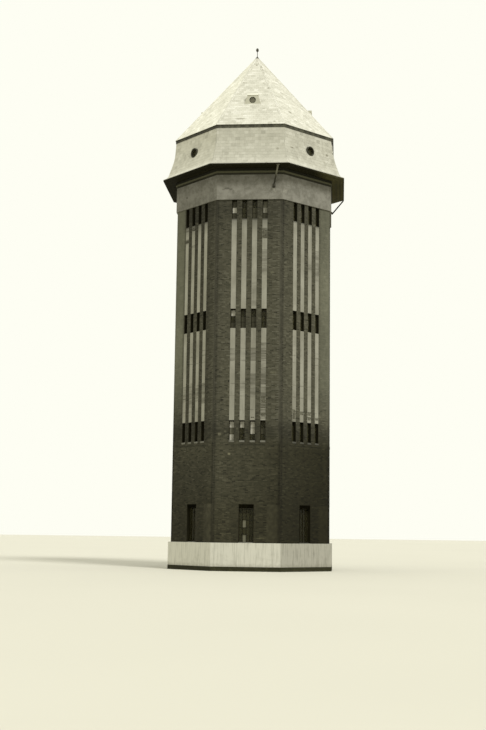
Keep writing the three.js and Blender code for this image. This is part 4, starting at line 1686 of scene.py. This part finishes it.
@dataclass
class Windows:
    """Frames, glazing bars and panes of every slit window and ground window."""

    depth: float = 0.045
    stile: float = 0.036
    lintel: float = 0.080
    rail: float = 0.045
    bar: float = 0.024
    bar_depth: float = 0.026
    lining: float = 0.012
    lining_depth: float = PLASTER - GLASS - 0.002
    pane_depth: float = 0.004
    chamfer: float = 0.004
    # Height of the black box that paints the shadow under a ground window's head.
    head_shadow_height: float = 0.24
    slit_panes: tuple[int, int] = (1, 3)
    ground_panes: tuple[int, int] = (4, 5)
    odds: tuple[tuple[Pane, float], ...] = (
        (Pane.CLEAR, 0.74), (Pane.DUSTY, 0.12), (Pane.BOARDED, 0.04), (Pane.GREY, 0.04),
        (Pane.LIMED, 0.06),
    )

    def panes_of(self, face: int, row: WindowRow, lights: int, rows: int) -> list[list[Pane]]:
        """Chooses the panes of a row of windows, from the top down in each light.

        Args:
            face: The face's number.
            row: The row of windows.
            lights: Number of lights side by side.
            rows: Number of panes in each light.

        Returns:
            The panes of each light.
        """
        if (face, row) in SEEN_PANES:
            return [[PANES[letter] for letter in word] for word in SEEN_PANES[face, row].split()]
        rng = np.random.default_rng((SEED, face, list(WindowRow).index(row)))
        kinds, weights = zip(*self.odds, strict=True)
        picks = rng.choice(len(kinds), (lights, rows), p=weights)
        return [[kinds[i] for i in light] for light in picks]

    def build_light(self, stock: FaceWindows, x: Span, z: Span, panes: Sequence[Pane]) -> None:
        """Builds the bars and panes of one light.

        Args:
            stock: Takes them.
            x: Left and right edge of the light.
            z: Its foot and its head.
            panes: What each pane looks like, from the top down.
        """
        back = GLASS + SEAT
        pitch = (z[1] - z[0]) / len(panes)
        levels = z[1] - np.arange(1, len(panes)) * pitch
        spread = (levels - self.bar / 2, levels + self.bar / 2)
        stock.bars.add(blocks(x, (back, GLASS + self.bar_depth), spread, self.chamfer), stock.face)
        for number, pane in enumerate(panes):
            if pane is not Pane.CLEAR:
                head = z[1] - number * pitch
                sheet = blocks(x, (back, back + self.pane_depth), (head - pitch, head))
                stock.sheets.add(sheet, stock.face, pane.tone)

    def build_frame(self, stock: FaceWindows, x: Span, z: Span) -> None:
        """Builds the lining and the outer frame of one window.

        Args:
            stock: Takes them.
            x: Left and right edge of the opening.
            z: Its foot and its head.
        """
        lined = (GLASS + SEAT, GLASS + self.lining_depth)
        framed = (GLASS + SEAT, GLASS + self.depth)
        inner = (x[0] + self.stile, x[1] - self.stile)
        for bar in (
            ((x[0], x[0] + self.lining), lined, z),
            ((x[1] - self.lining, x[1]), lined, z),
            (x, lined, (z[1] - self.lining, z[1])),
            ((x[0], inner[0]), framed, z, self.chamfer),
            ((inner[1], x[1]), framed, z, self.chamfer),
            (inner, framed, (z[1] - self.lintel, z[1]), self.chamfer),
            (inner, framed, (z[0], z[0] + self.rail), self.chamfer),
        ):
            stock.bars.add(blocks(*bar), stock.face)

    def build_row(self, stock: FaceWindows, row: WindowRow) -> None:
        """Builds the windows of one row. The ground window has a black box at its head, which is painted
        shadow.

        Args:
            stock: Takes them.
            row: The row of windows.
        """
        ground = row is WindowRow.GROUND
        columns, rows = self.ground_panes if ground else self.slit_panes
        lights = iter(self.panes_of(stock.face, row, len(row.centres) * columns, rows))
        z = (row.sill + self.rail, row.head - self.lintel)
        framed = (GLASS + SEAT, GLASS + self.depth)
        pitch = (row.width - 2 * self.stile + self.bar) / columns
        for centre in row.centres:
            left, right = centre - row.width / 2, centre + row.width / 2
            self.build_frame(stock, (left, right), (row.sill, row.head))
            for column in range(columns):
                start = left + self.stile + column * pitch
                self.build_light(stock, (start, start + pitch - self.bar), z, next(lights))
                if column:
                    stock.bars.add(blocks((start - self.bar, start), framed, z, self.chamfer), stock.face)
            # A black box paints the shadow under the ground window's head.
            if ground:
                x = (left + self.lining, right - self.lining)
                depth = (GLASS + self.depth, GLASS + self.lining_depth)
                shadow_box = blocks(x, depth, (row.head - self.head_shadow_height, row.head - self.lining))
                stock.shadow_boxes.add(shadow_box, stock.face)

    def build(self) -> None:
        """Builds and dresses the windows of all faces."""
        sheets, shadow_boxes = Stock(), Stock()
        for face, face_name in enumerate(FACE_NAMES):
            stock = FaceWindows(face, Stock(), sheets, shadow_boxes)
            for row in (WindowRow.LOW, WindowRow.MIDDLE, WindowRow.TOP, WindowRow.GROUND):
                self.build_row(stock, row)
            stock.bars.piece(f"window_frames_{face_name}", JOINERY)
        sheets.piece("window_panes", DULL_PANES)
        shadow_boxes.piece("window_head_shadows", HEAD_SHADOW_PAINT)
        GLAZING.dress(*(row.value for row in WindowRow))


@dataclass
class SillSlopes:
    """Sloping cement on the sills, which sheds water from the window frames."""

    back: float = GLASS + 0.050
    rise: float = 0.050
    lip: float = 0.010
    low_front: float = WALL + 0.038
    strip_front: float = PLASTER + 0.004
    ground_front: float = WALL + 0.03
    side: float = 0.002

    def build(self) -> None:
        """Builds and dresses the slopes of every window."""
        fronts = {
            WindowRow.LOW: self.low_front,
            WindowRow.MIDDLE: self.strip_front,
            WindowRow.TOP: self.strip_front,
            WindowRow.GROUND: self.ground_front,
        }
        stock = Stock()
        for row, front in fronts.items():
            half, foot = row.width / 2 - self.side, row.sill + SEAT
            x = (row.centres - half, row.centres + half)
            wedge = blocks(x, (self.back, front), (foot, foot + self.lip))
            wedge[:, 2:4, 2] = foot + self.rise
            for face in range(FACES):
                stock.add(wedge, face)
        stock.piece("sill_slopes", CEMENT)


# Base, frieze and soffit


@dataclass
class BaseAndHead:
    """Finishes of the base, the frieze, the cornice and the floors, which keep their CAD shapes."""

    def build(self) -> None:
        """Dresses the nodes."""
        TAR.dress("base_course")
        LIMEWASH.dress("plinth")
        RENDER.dress("frieze", "cornice")
        BOARDS.dress("soffit")
        CONCRETE.dress("ground_floor", "landing_low", "landing_middle", "landing_top", "tank_floor")


@dataclass
class SoffitBoards:
    """Boards under the overhang, laid along each face and mitred at the corners."""

    thickness: float = 0.014
    width: float = 0.118
    gap: float = 0.007
    inner: float = apothem_of("frieze") + 0.03
    outer: float = apothem_of("soffit") - 0.004
    tones: Span = (0.25, 0.75)

    def build(self) -> None:
        """Builds and dresses the boards."""
        rng = np.random.default_rng(SEED)
        head = span_of("soffit")[0]
        stock = Stock()
        pitch = self.width + self.gap
        count = int((self.outer - self.inner + self.gap) / pitch)
        for face in range(FACES):
            for number in range(count):
                outer = self.outer - number * pitch
                board = mitred((outer - self.width, outer), (head - self.thickness, head), self.gap / 2)
                stock.add(board, face, rng.uniform(*self.tones))
        stock.piece("soffit_boards", BOARDS)


# Tank house and roof


@dataclass(frozen=True)
class RoundHole:
    """A round hole in the cladding of a face."""

    face: int
    height: float
    radius: float


@dataclass
class SlateCoat:
    """Courses of slates on an eight-sided surface, with mitred edges at its corners."""

    name: str
    finish: Finish
    profile: tuple[Span, ...]
    width: float = 0.300
    gauge: float = 0.240
    lap: float = 0.030
    gap: float = 0.004
    thickness: float = 0.006
    foot_lift: float = 0.010
    head_lift: float = 0.004
    jitter: float = 0.0008
    slices: int = 12
    tone_spread: float = 0.18
    dark_share: float = 0.02
    narrowest: float = 0.02
    hip_width: float = 0.0
    hip_lift: float = 0.020
    hip_tones: Span = (0.4, 0.9)
    holes: tuple[RoundHole, ...] = ()

    def __post_init__(self) -> None:
        """Measures the profile."""
        self._line = np.array(self.profile)
        steps = np.linalg.norm(np.diff(self._line, axis=0), axis=1)
        self._reach = np.concatenate([[0.0], np.cumsum(steps)])

    def at(self, distance: float) -> np.ndarray:
        """Returns apothem and height at a distance along the profile."""
        return np.array([np.interp(distance, self._reach, column) for column in self._line.T])

    def courses(self) -> Iterator[tuple[int, np.ndarray, np.ndarray]]:
        """Sets out the courses.

        Yields:
            The number of each, with the apothem and height of its lower and of its upper edge.
        """
        count = math.ceil(self._reach[-1] / self.gauge)
        pitch = self._reach[-1] / count
        for number in range(count):
            foot = number * pitch
            yield number, self.at(foot), self.at(min(foot + pitch + self.lap, self._reach[-1]))

    def plate(self, low: np.ndarray, high: np.ndarray, x_low: np.ndarray, x_high: np.ndarray,
              lift: float = 0.0) -> np.ndarray:
        """Makes the slates of one course.

        Args:
            low: Apothem and height of the course's lower edge.
            high: The same of its upper edge.
            x_low: Left and right edge of each slate at the lower edge.
            x_high: The same at the upper edge.
            lift: How much higher the slates lie than usual.

        Returns:
            The slates, as blocks.
        """
        along = (high - low) / np.linalg.norm(high - low)
        out = np.array([along[1], -along[0]])
        count = x_low.shape[1]
        made = np.empty((count, CORNERS, 3))
        edges = (
            (low, x_low, self.foot_lift + lift, (0, 1), (4, 5)),
            (high, x_high, self.head_lift + lift, (3, 2), (7, 6)),
        )
        for point, x, front, rear_corners, face_corners in edges:
            for depth, corners in ((front - self.thickness, rear_corners), (front, face_corners)):
                apothem, height = point + out * depth
                for corner, side in zip(corners, x, strict=True):
                    made[:, corner] = np.stack([side, np.full(count, -apothem), np.full(count, height)], -1)
        return made

    def row_edges(self, number: int, low: float, high: float) -> tuple[np.ndarray, np.ndarray]:
        """Places the slates of one course across a face.

        Args:
            number: The course's number.
            low: Apothem of the course's lower edge.
            high: Apothem of its upper edge.

        Returns:
            Left and right edges of the slates, at the lower and at the upper edge of the course.
        """
        reach = max(low, high) * FLARE
        count = math.ceil(reach / self.width) + 1
        starts = (np.arange(-count, count) + 0.5 * (number % 2)) * self.width + self.gap / 2
        edges = np.stack([starts, starts + self.width - self.gap])
        x_low = np.clip(edges, -low * FLARE, low * FLARE)
        x_high = np.clip(edges, -high * FLARE, high * FLARE)
        kept = np.maximum(x_low[1] - x_low[0], x_high[1] - x_high[0]) > self.narrowest
        return x_low[:, kept], x_high[:, kept]

    def cut_round(self, slates: np.ndarray, hole: RoundHole) -> tuple[np.ndarray, np.ndarray]:
        """Cuts slates where they reach into a round hole.

        Args:
            slates: The slates of one course.
            hole: The hole.

        Returns:
            What is left, in narrow slices beside the hole, and the slate that each slice is of.
        """
        kept, source = [], []
        for number, slate in enumerate(slates):
            left, right = slate[(4, 5), 0].min(), slate[(4, 5), 0].max()
            foot, head = slate[4, 2], slate[7, 2]
            near_x, near_z = np.clip(0.0, left, right), np.clip(hole.height, foot, head)
            if math.hypot(near_x, near_z - hole.height) >= hole.radius:
                kept.append(slate)
                source.append(number)
                continue
            shares = np.linspace(0.0, 1.0, self.slices + 1)
            x = left + shares * (right - left)
            half = np.sqrt(np.maximum(hole.radius**2 - x**2, 0.0))
            below = np.clip((hole.height - half - foot) / (head - foot), 0.0, 1.0)
            above = np.clip((hole.height + half - foot) / (head - foot), 0.0, 1.0)
            for i in range(self.slices):
                for low, high in (((0.0, 0.0), below[i:i + 2]), (above[i:i + 2], (1.0, 1.0))):
                    if max(high[0] - low[0], high[1] - low[1]) > self.narrowest:
                        kept.append(self._slice(slate, shares[i:i + 2], low, high))
                        source.append(number)
        return np.array(kept), np.array(source, int)

    @staticmethod
    def _slice(slate: np.ndarray, across: Sequence[float], low: Sequence[float],
               high: Sequence[float]) -> np.ndarray:
        """Cuts one slice from a slate.

        Args:
            slate: The slate's corners.
            across: Shares of its width where the slice starts and ends.
            low: Shares of its height at the slice's foot, at its left and right edge.
            high: The same at its head.

        Returns:
            The slice's corners.
        """
        made = np.empty((CORNERS, 3))
        for base in (0, 4):
            foot_left, foot_right, head_right, head_left = slate[base:base + 4]
            spots = (
                (across[0], low[0]), (across[1], low[1]), (across[1], high[1]), (across[0], high[0]),
            )
            for corner, (u, v) in enumerate(spots):
                foot = foot_left + (foot_right - foot_left) * u
                head = head_left + (head_right - head_left) * u
                made[base + corner] = foot + (head - foot) * v
        return made

    def hip_slates(self, low: np.ndarray, high: np.ndarray) -> np.ndarray:
        """Makes the two strips that close the corners of the surface beside one course.

        Args:
            low: Apothem and height of the course's lower edge.
            high: The same of its upper edge.

        Returns:
            The strips, as blocks.
        """
        reaches = (low[0] * FLARE, high[0] * FLARE)
        edges = (np.array([[-r, r - self.hip_width], [self.hip_width - r, r]]) for r in reaches)
        return self.plate(low, high, *edges, self.hip_lift)

    def build(self) -> None:
        """Builds and dresses the slates."""
        rng = np.random.default_rng(SEED)
        stock, hips = Stock(), Stock()
        for number, low, high in self.courses():
            edges = self.row_edges(number, low[0], high[0])
            slates = self.plate(low, high, *edges)
            for face in range(FACES):
                tones = rng.normal(MID_TONE, self.tone_spread, len(slates))
                tones[rng.random(len(slates)) < self.dark_share] = 0.0
                rough = slates.copy()
                rough[:, 4:, 1] -= rng.normal(0.0, self.jitter, (len(slates), 1))
                for hole in self.holes:
                    if hole.face == face:
                        rough, source = self.cut_round(rough, hole)
                        tones = tones[source]
                stock.add(rough, face, tones)
                if self.hip_width:
                    hips.add(self.hip_slates(low, high), face, rng.uniform(*self.hip_tones))
        stock.piece(self.name, self.finish, mapped=True)
        if self.hip_width:
            hips.piece(f"{self.name}_hips", self.finish)


PORTHOLE_FACES = (1, 3, 5, 7)
PORTHOLE_HEIGHT = 29.640
PORTHOLE_RADIUS = 0.355
PORTHOLE_OPENING = 0.285
PORTHOLE_GLASS = 5.761
PORTHOLE_FRONT = 5.950
FASCIA_FOOT = span_of("eave_fascia")[0]
DRIP = 6.600
SKIRT = (
    (DRIP - 0.018, 28.103), (6.280, 28.260), (6.205, 28.520), (6.120, 28.780), (5.990, 29.155),
    (5.882, 29.545), (5.815, 29.900), (5.790, 30.150), (5.745, 30.900), (5.745, FASCIA_FOOT - 0.004),
)


@dataclass
class TankHouse:
    """Cladding, portholes and eave of the tank house."""

    slate_gap: float = 0.008
    tone_spread: float = 0.11
    bead: float = 0.012
    bead_rise: float = 0.006
    bar: float = 0.026
    bar_depth: float = 0.022
    bar_share: float = 0.99
    chamfer: float = 0.003
    pane_depth: float = 0.004
    sides: int = 48
    gutter_reach: float = 0.024
    gutter_height: float = 0.035

    def build(self) -> None:
        """Builds and dresses the tank house."""
        radius = PORTHOLE_RADIUS + self.slate_gap
        holes = tuple(RoundHole(face, PORTHOLE_HEIGHT, radius) for face in PORTHOLE_FACES)
        slates = SlateCoat(
            "tank_house_slates", TANK_SLATE, SKIRT, tone_spread=self.tone_spread, holes=holes
        )
        slates.build()
        TANK_SLATE.dress("drum")
        self.build_portholes()
        self.build_eave()

    def build_portholes(self) -> None:
        """Builds the panes, the glazing bars and the beads of the portholes."""
        trims, panes = Stock(), Stock()
        opening, height = PORTHOLE_OPENING - SEAT, PORTHOLE_HEIGHT
        back, front = PORTHOLE_GLASS + SEAT, PORTHOLE_FRONT + SEAT
        rim = PORTHOLE_RADIUS - self.bead
        bead = ((opening, 0.0), (rim, 0.0), (rim, self.bead_rise), (rim - self.bead, self.bead),
                (opening + self.bead, self.bead))
        pane = ((opening, 0.0), (opening, self.pane_depth))
        depth = (back + self.pane_depth, back + self.bar_depth)
        half, reach = self.bar / 2, opening * self.bar_share
        for face in PORTHOLE_FACES:
            trims.lathe(bead, self.sides, outward(face, front, height))
            for across, up in ((reach, half), (half, reach)):
                z = (height - up, height + up)
                trims.add(blocks((-across, across), depth, z, self.chamfer), face)
            panes.lathe(pane, self.sides, outward(face, back, height), closed=False)
        trims.piece("porthole_trims", DARK_METAL, smooth=True)
        panes.piece("porthole_panes", GLAZING)
        DARK_METAL.dress(*(f"porthole_{FACE_NAMES[face]}" for face in PORTHOLE_FACES))

    def build_eave(self) -> None:
        """Builds the small gutter bead at the head of the eave fascia."""
        head = span_of("eave_fascia")[1]
        front = apothem_of("eave_fascia")
        bead = mitred((front - OVERLAP, front + self.gutter_reach), (head - self.gutter_height, head))
        beads = Stock()
        for face in range(FACES):
            beads.add(bead, face)
        beads.piece("eave_bead", DARK_METAL)
        DARK_METAL.dress("eave_fascia")


DORMER_FACES = (0, 2, 4, 6)


@dataclass
class Roof:
    """Slates of the roof, its dormers, cap and finial."""

    eave: Span = (5.785, 31.190)
    overhang: Span = (0.022, -0.028)
    top: Span = (0.150, 38.369)
    gauge: float = 0.250
    hip_width: float = 0.085
    hip_lift: float = 0.010
    dormer_front: float = 4.150
    dormer_hole: float = 33.575
    hole_radius: float = 0.210
    rim: tuple[Span, ...] = (
        (-0.006, -0.020), (0.022, 0.0), (0.020, 0.012), (0.0, 0.014), (-0.006, 0.006),
    )
    lid_half: float = 0.3925
    lid_front: float = 4.170
    lid_back: float = 3.640
    lid_head: float = 34.075
    lid_sheet: float = 0.010
    lid_lip: float = 0.138
    lid_edge: float = 0.006
    louvres: int = 6
    louvre_gap: float = 0.004
    louvre_depth: Span = (0.075, 0.025)
    louvre_drop: float = 0.022
    louvre_thickness: float = 0.010
    louvre_slope: float = 0.060
    sides: int = 32

    def build(self) -> None:
        """Builds and dresses the roof."""
        foot = (self.eave[0] + self.overhang[0], self.eave[1] + self.overhang[1])
        slates = SlateCoat(
            "roof_slates", ROOF_SLATE, (foot, self.top),
            gauge=self.gauge, hip_width=self.hip_width, hip_lift=self.hip_lift,
        )
        slates.build()
        ROOF_SLATE.dress("roof")
        DORMER_BOARD.dress(*(f"dormer_{FACE_NAMES[face]}" for face in DORMER_FACES))
        DARK_METAL.dress("roof_cap")
        IRON.dress("finial")
        self.build_dormers()

    def build_dormers(self) -> None:
        """Builds the lids, rims and louvres of the dormers."""
        lids, rims, slats = Stock(), Stock(), Stock()
        rim = [(self.hole_radius + out, up) for out, up in self.rim]
        lid_half, front = self.lid_half + self.lid_edge, self.lid_front + self.lid_edge
        lid_top = self.lid_head + self.lid_sheet
        levels = np.linspace(-self.hole_radius, self.hole_radius, self.louvres + 1)
        middles = (levels[1:] + levels[:-1]) / 2
        half = np.sqrt(self.hole_radius**2 - middles**2) - self.louvre_gap
        foot = self.dormer_hole + middles - self.louvre_drop
        depth = tuple(self.dormer_front - back for back in self.louvre_depth)
        slat = blocks((-half, half), depth, (foot, foot + self.louvre_thickness))
        slat[:, :4, 2] += self.louvre_slope
        for face in DORMER_FACES:
            for back, lid_foot in (
                (self.lid_back, self.lid_head), (self.lid_front, self.lid_head - self.lid_lip)
            ):
                lids.add(blocks((-lid_half, lid_half), (back, front), (lid_foot, lid_top)), face)
            rims.lathe(rim, self.sides, outward(face, self.dormer_front, self.dormer_hole))
            slats.add(slat, face)
        lids.piece("dormer_lids", LID_SHEET)
        rims.piece("dormer_rims", DARK_METAL, smooth=True)
        slats.piece("dormer_louvres", LOUVRES)


# Ironwork under the tank house


@dataclass
class Fittings:
    """Insulator sheds, bolts and end plates of the wire bracket and the corner stay."""

    foot: Span = (1.686, 26.700)
    plate_front: float = apothem_of("frieze") + 0.0403
    shed: tuple[Span, ...] = ((0.0705, 0.0), (0.096, 0.004), (0.096, 0.012), (0.0705, 0.030))
    shed_gaps: tuple[float, ...] = (0.045, 0.095, 0.145)
    shed_sides: int = 24
    bolt: tuple[Span, ...] = ((0.016, 0.0), (0.016, 0.0112), (0.0128, 0.014))
    bolt_inset: Span = (0.078, 0.118)
    bolt_sides: int = 6
    stay_turn: float = 2.5
    stay_head: float = 6.560
    washer_radius: float = 0.072
    washer_thickness: float = 0.008
    washer_shift: Triple = (-0.034, -0.01, -0.022)
    washer_sides: int = 16
    lug_half: float = 0.040
    lug_reach: Span = (-0.030, 0.072)
    lug_height: Span = (26.785, 26.975)

    def build(self) -> None:
        """Builds and dresses the fittings."""
        STRUT.dress("wire_bracket")
        STAY.dress("corner_stay")
        sheds, bolts = Stock(), Stock()
        x, height = self.foot
        for gap in self.shed_gaps:
            place = outward(FRONT, self.plate_front + gap, height, x)
            sheds.lathe(self.shed, self.shed_sides, place)
        for side, up in itertools.product((-1, 1), repeat=2):
            dx, dz = side * self.bolt_inset[0], up * self.bolt_inset[1]
            place = outward(FRONT, self.plate_front, height + dz, x + dx)
            bolts.lathe(self.bolt, self.bolt_sides, place, closed=False)
        self.build_stay_ends(bolts)
        sheds.piece("insulator_sheds", IRON, smooth=True)
        bolts.piece("bracket_bolts", IRON)

    def build_stay_ends(self, bolts: Stock) -> None:
        """Builds the washer at the head of the corner stay and the lug at its foot.

        Args:
            bolts: Takes them.
        """
        angle, to_corner = self.stay_turn * FACE_ANGLE, 1 / math.cos(FACE_ANGLE / 2)
        head, wall = self.stay_head * to_corner, apothem_of("frieze") * to_corner
        place = (head * math.sin(angle), -head * math.cos(angle), span_of("soffit")[0])
        place = [value + shift for value, shift in zip(place, self.washer_shift, strict=True)]
        inner, outer, top = self.washer_radius / 2, self.washer_radius, self.washer_thickness
        washer = ((inner, 0.0), (outer, 0.0), (outer, top), (inner, top))
        bolts.lathe(washer, self.washer_sides, Matrix.Translation(place))
        back, front = (wall + reach for reach in self.lug_reach)
        lug = blocks((-self.lug_half, self.lug_half), (back, front), self.lug_height)
        bolts.add(lug, self.stay_turn)


# Studio


@dataclass
class Studio:
    """Floor, light and camera."""

    camera_place: Triple = (6.33, -86.11, 2.50)
    camera_heading: float = 0.0826
    camera_pitch: float = 0.1414
    camera_roll: float = 0.0128
    focal_length: float = 58.49
    sensor: float = 36.0
    far: float = 3000.0
    sky: Colour = tint(254, 254, 243)
    sky_strength: float = 1.0
    sun_from: Triple = (0.45, -0.55, 0.70)
    sun_strength: float = 2.5
    sun_spread: float = math.radians(16)
    floor_reach: float = 700.0

    def build(self) -> None:
        """Sets up the studio."""
        self.build_camera()
        self.build_light()
        self.build_floor()

    def build_camera(self) -> None:
        """Places the camera where the photograph was taken from."""
        data = bpy.data.cameras.new("camera")
        data.sensor_width = self.sensor
        data.lens = self.focal_length
        data.clip_end = self.far
        camera = placed("camera", data)
        camera.matrix_world = (
            Matrix.Translation(self.camera_place)
            @ Matrix.Rotation(self.camera_heading, 4, "Z")
            @ Matrix.Rotation(math.pi / 2 + self.camera_pitch, 4, "X")
            @ Matrix.Rotation(self.camera_roll, 4, "Z")
        )
        bpy.context.scene.camera = camera
        bpy.context.scene.view_settings.view_transform = "Standard"

    def build_light(self) -> None:
        """Lights the tower with a bright overcast sky and one soft lamp from the front right."""
        world = bpy.data.worlds.new("overcast")
        world.use_nodes = True
        background = world.node_tree.nodes["Background"]
        background.inputs["Color"].default_value = self.sky
        background.inputs["Strength"].default_value = self.sky_strength
        bpy.context.scene.world = world
        data = bpy.data.lights.new("soft_key", "SUN")
        data.energy = self.sun_strength
        data.angle = self.sun_spread
        lamp = placed("soft_key", data)
        lamp.rotation_euler = Vector(self.sun_from).to_track_quat("Z", "Y").to_euler()

    def build_floor(self) -> None:
        """Lays the pale floor at ground level."""
        reach = self.floor_reach
        mesh = bpy.data.meshes.new("floor")
        signs = ((-1, -1), (1, -1), (1, 1), (-1, 1))
        corners = [(x * reach, y * reach, 0.0) for x, y in signs]
        mesh.from_pydata(corners, [], [(0, 1, 2, 3)])
        mesh.materials.append(FLOOR.material())
        floor = placed("floor", mesh)


def main() -> None:
    """Builds the studio and every sub-assembly, from the ground up."""
    logging.basicConfig(level=logging.INFO, format="%(name)s: %(message)s")
    parts = (
        Studio(), BaseAndHead(), BrickCoat(), BareCourses(), Windows(), SillSlopes(),
        SoffitBoards(), TankHouse(), Roof(), Fittings(),
    )
    for part in parts:
        LOG.info("building %s", type(part).__name__)
        part.build()


if __name__ == "__main__":
    main()
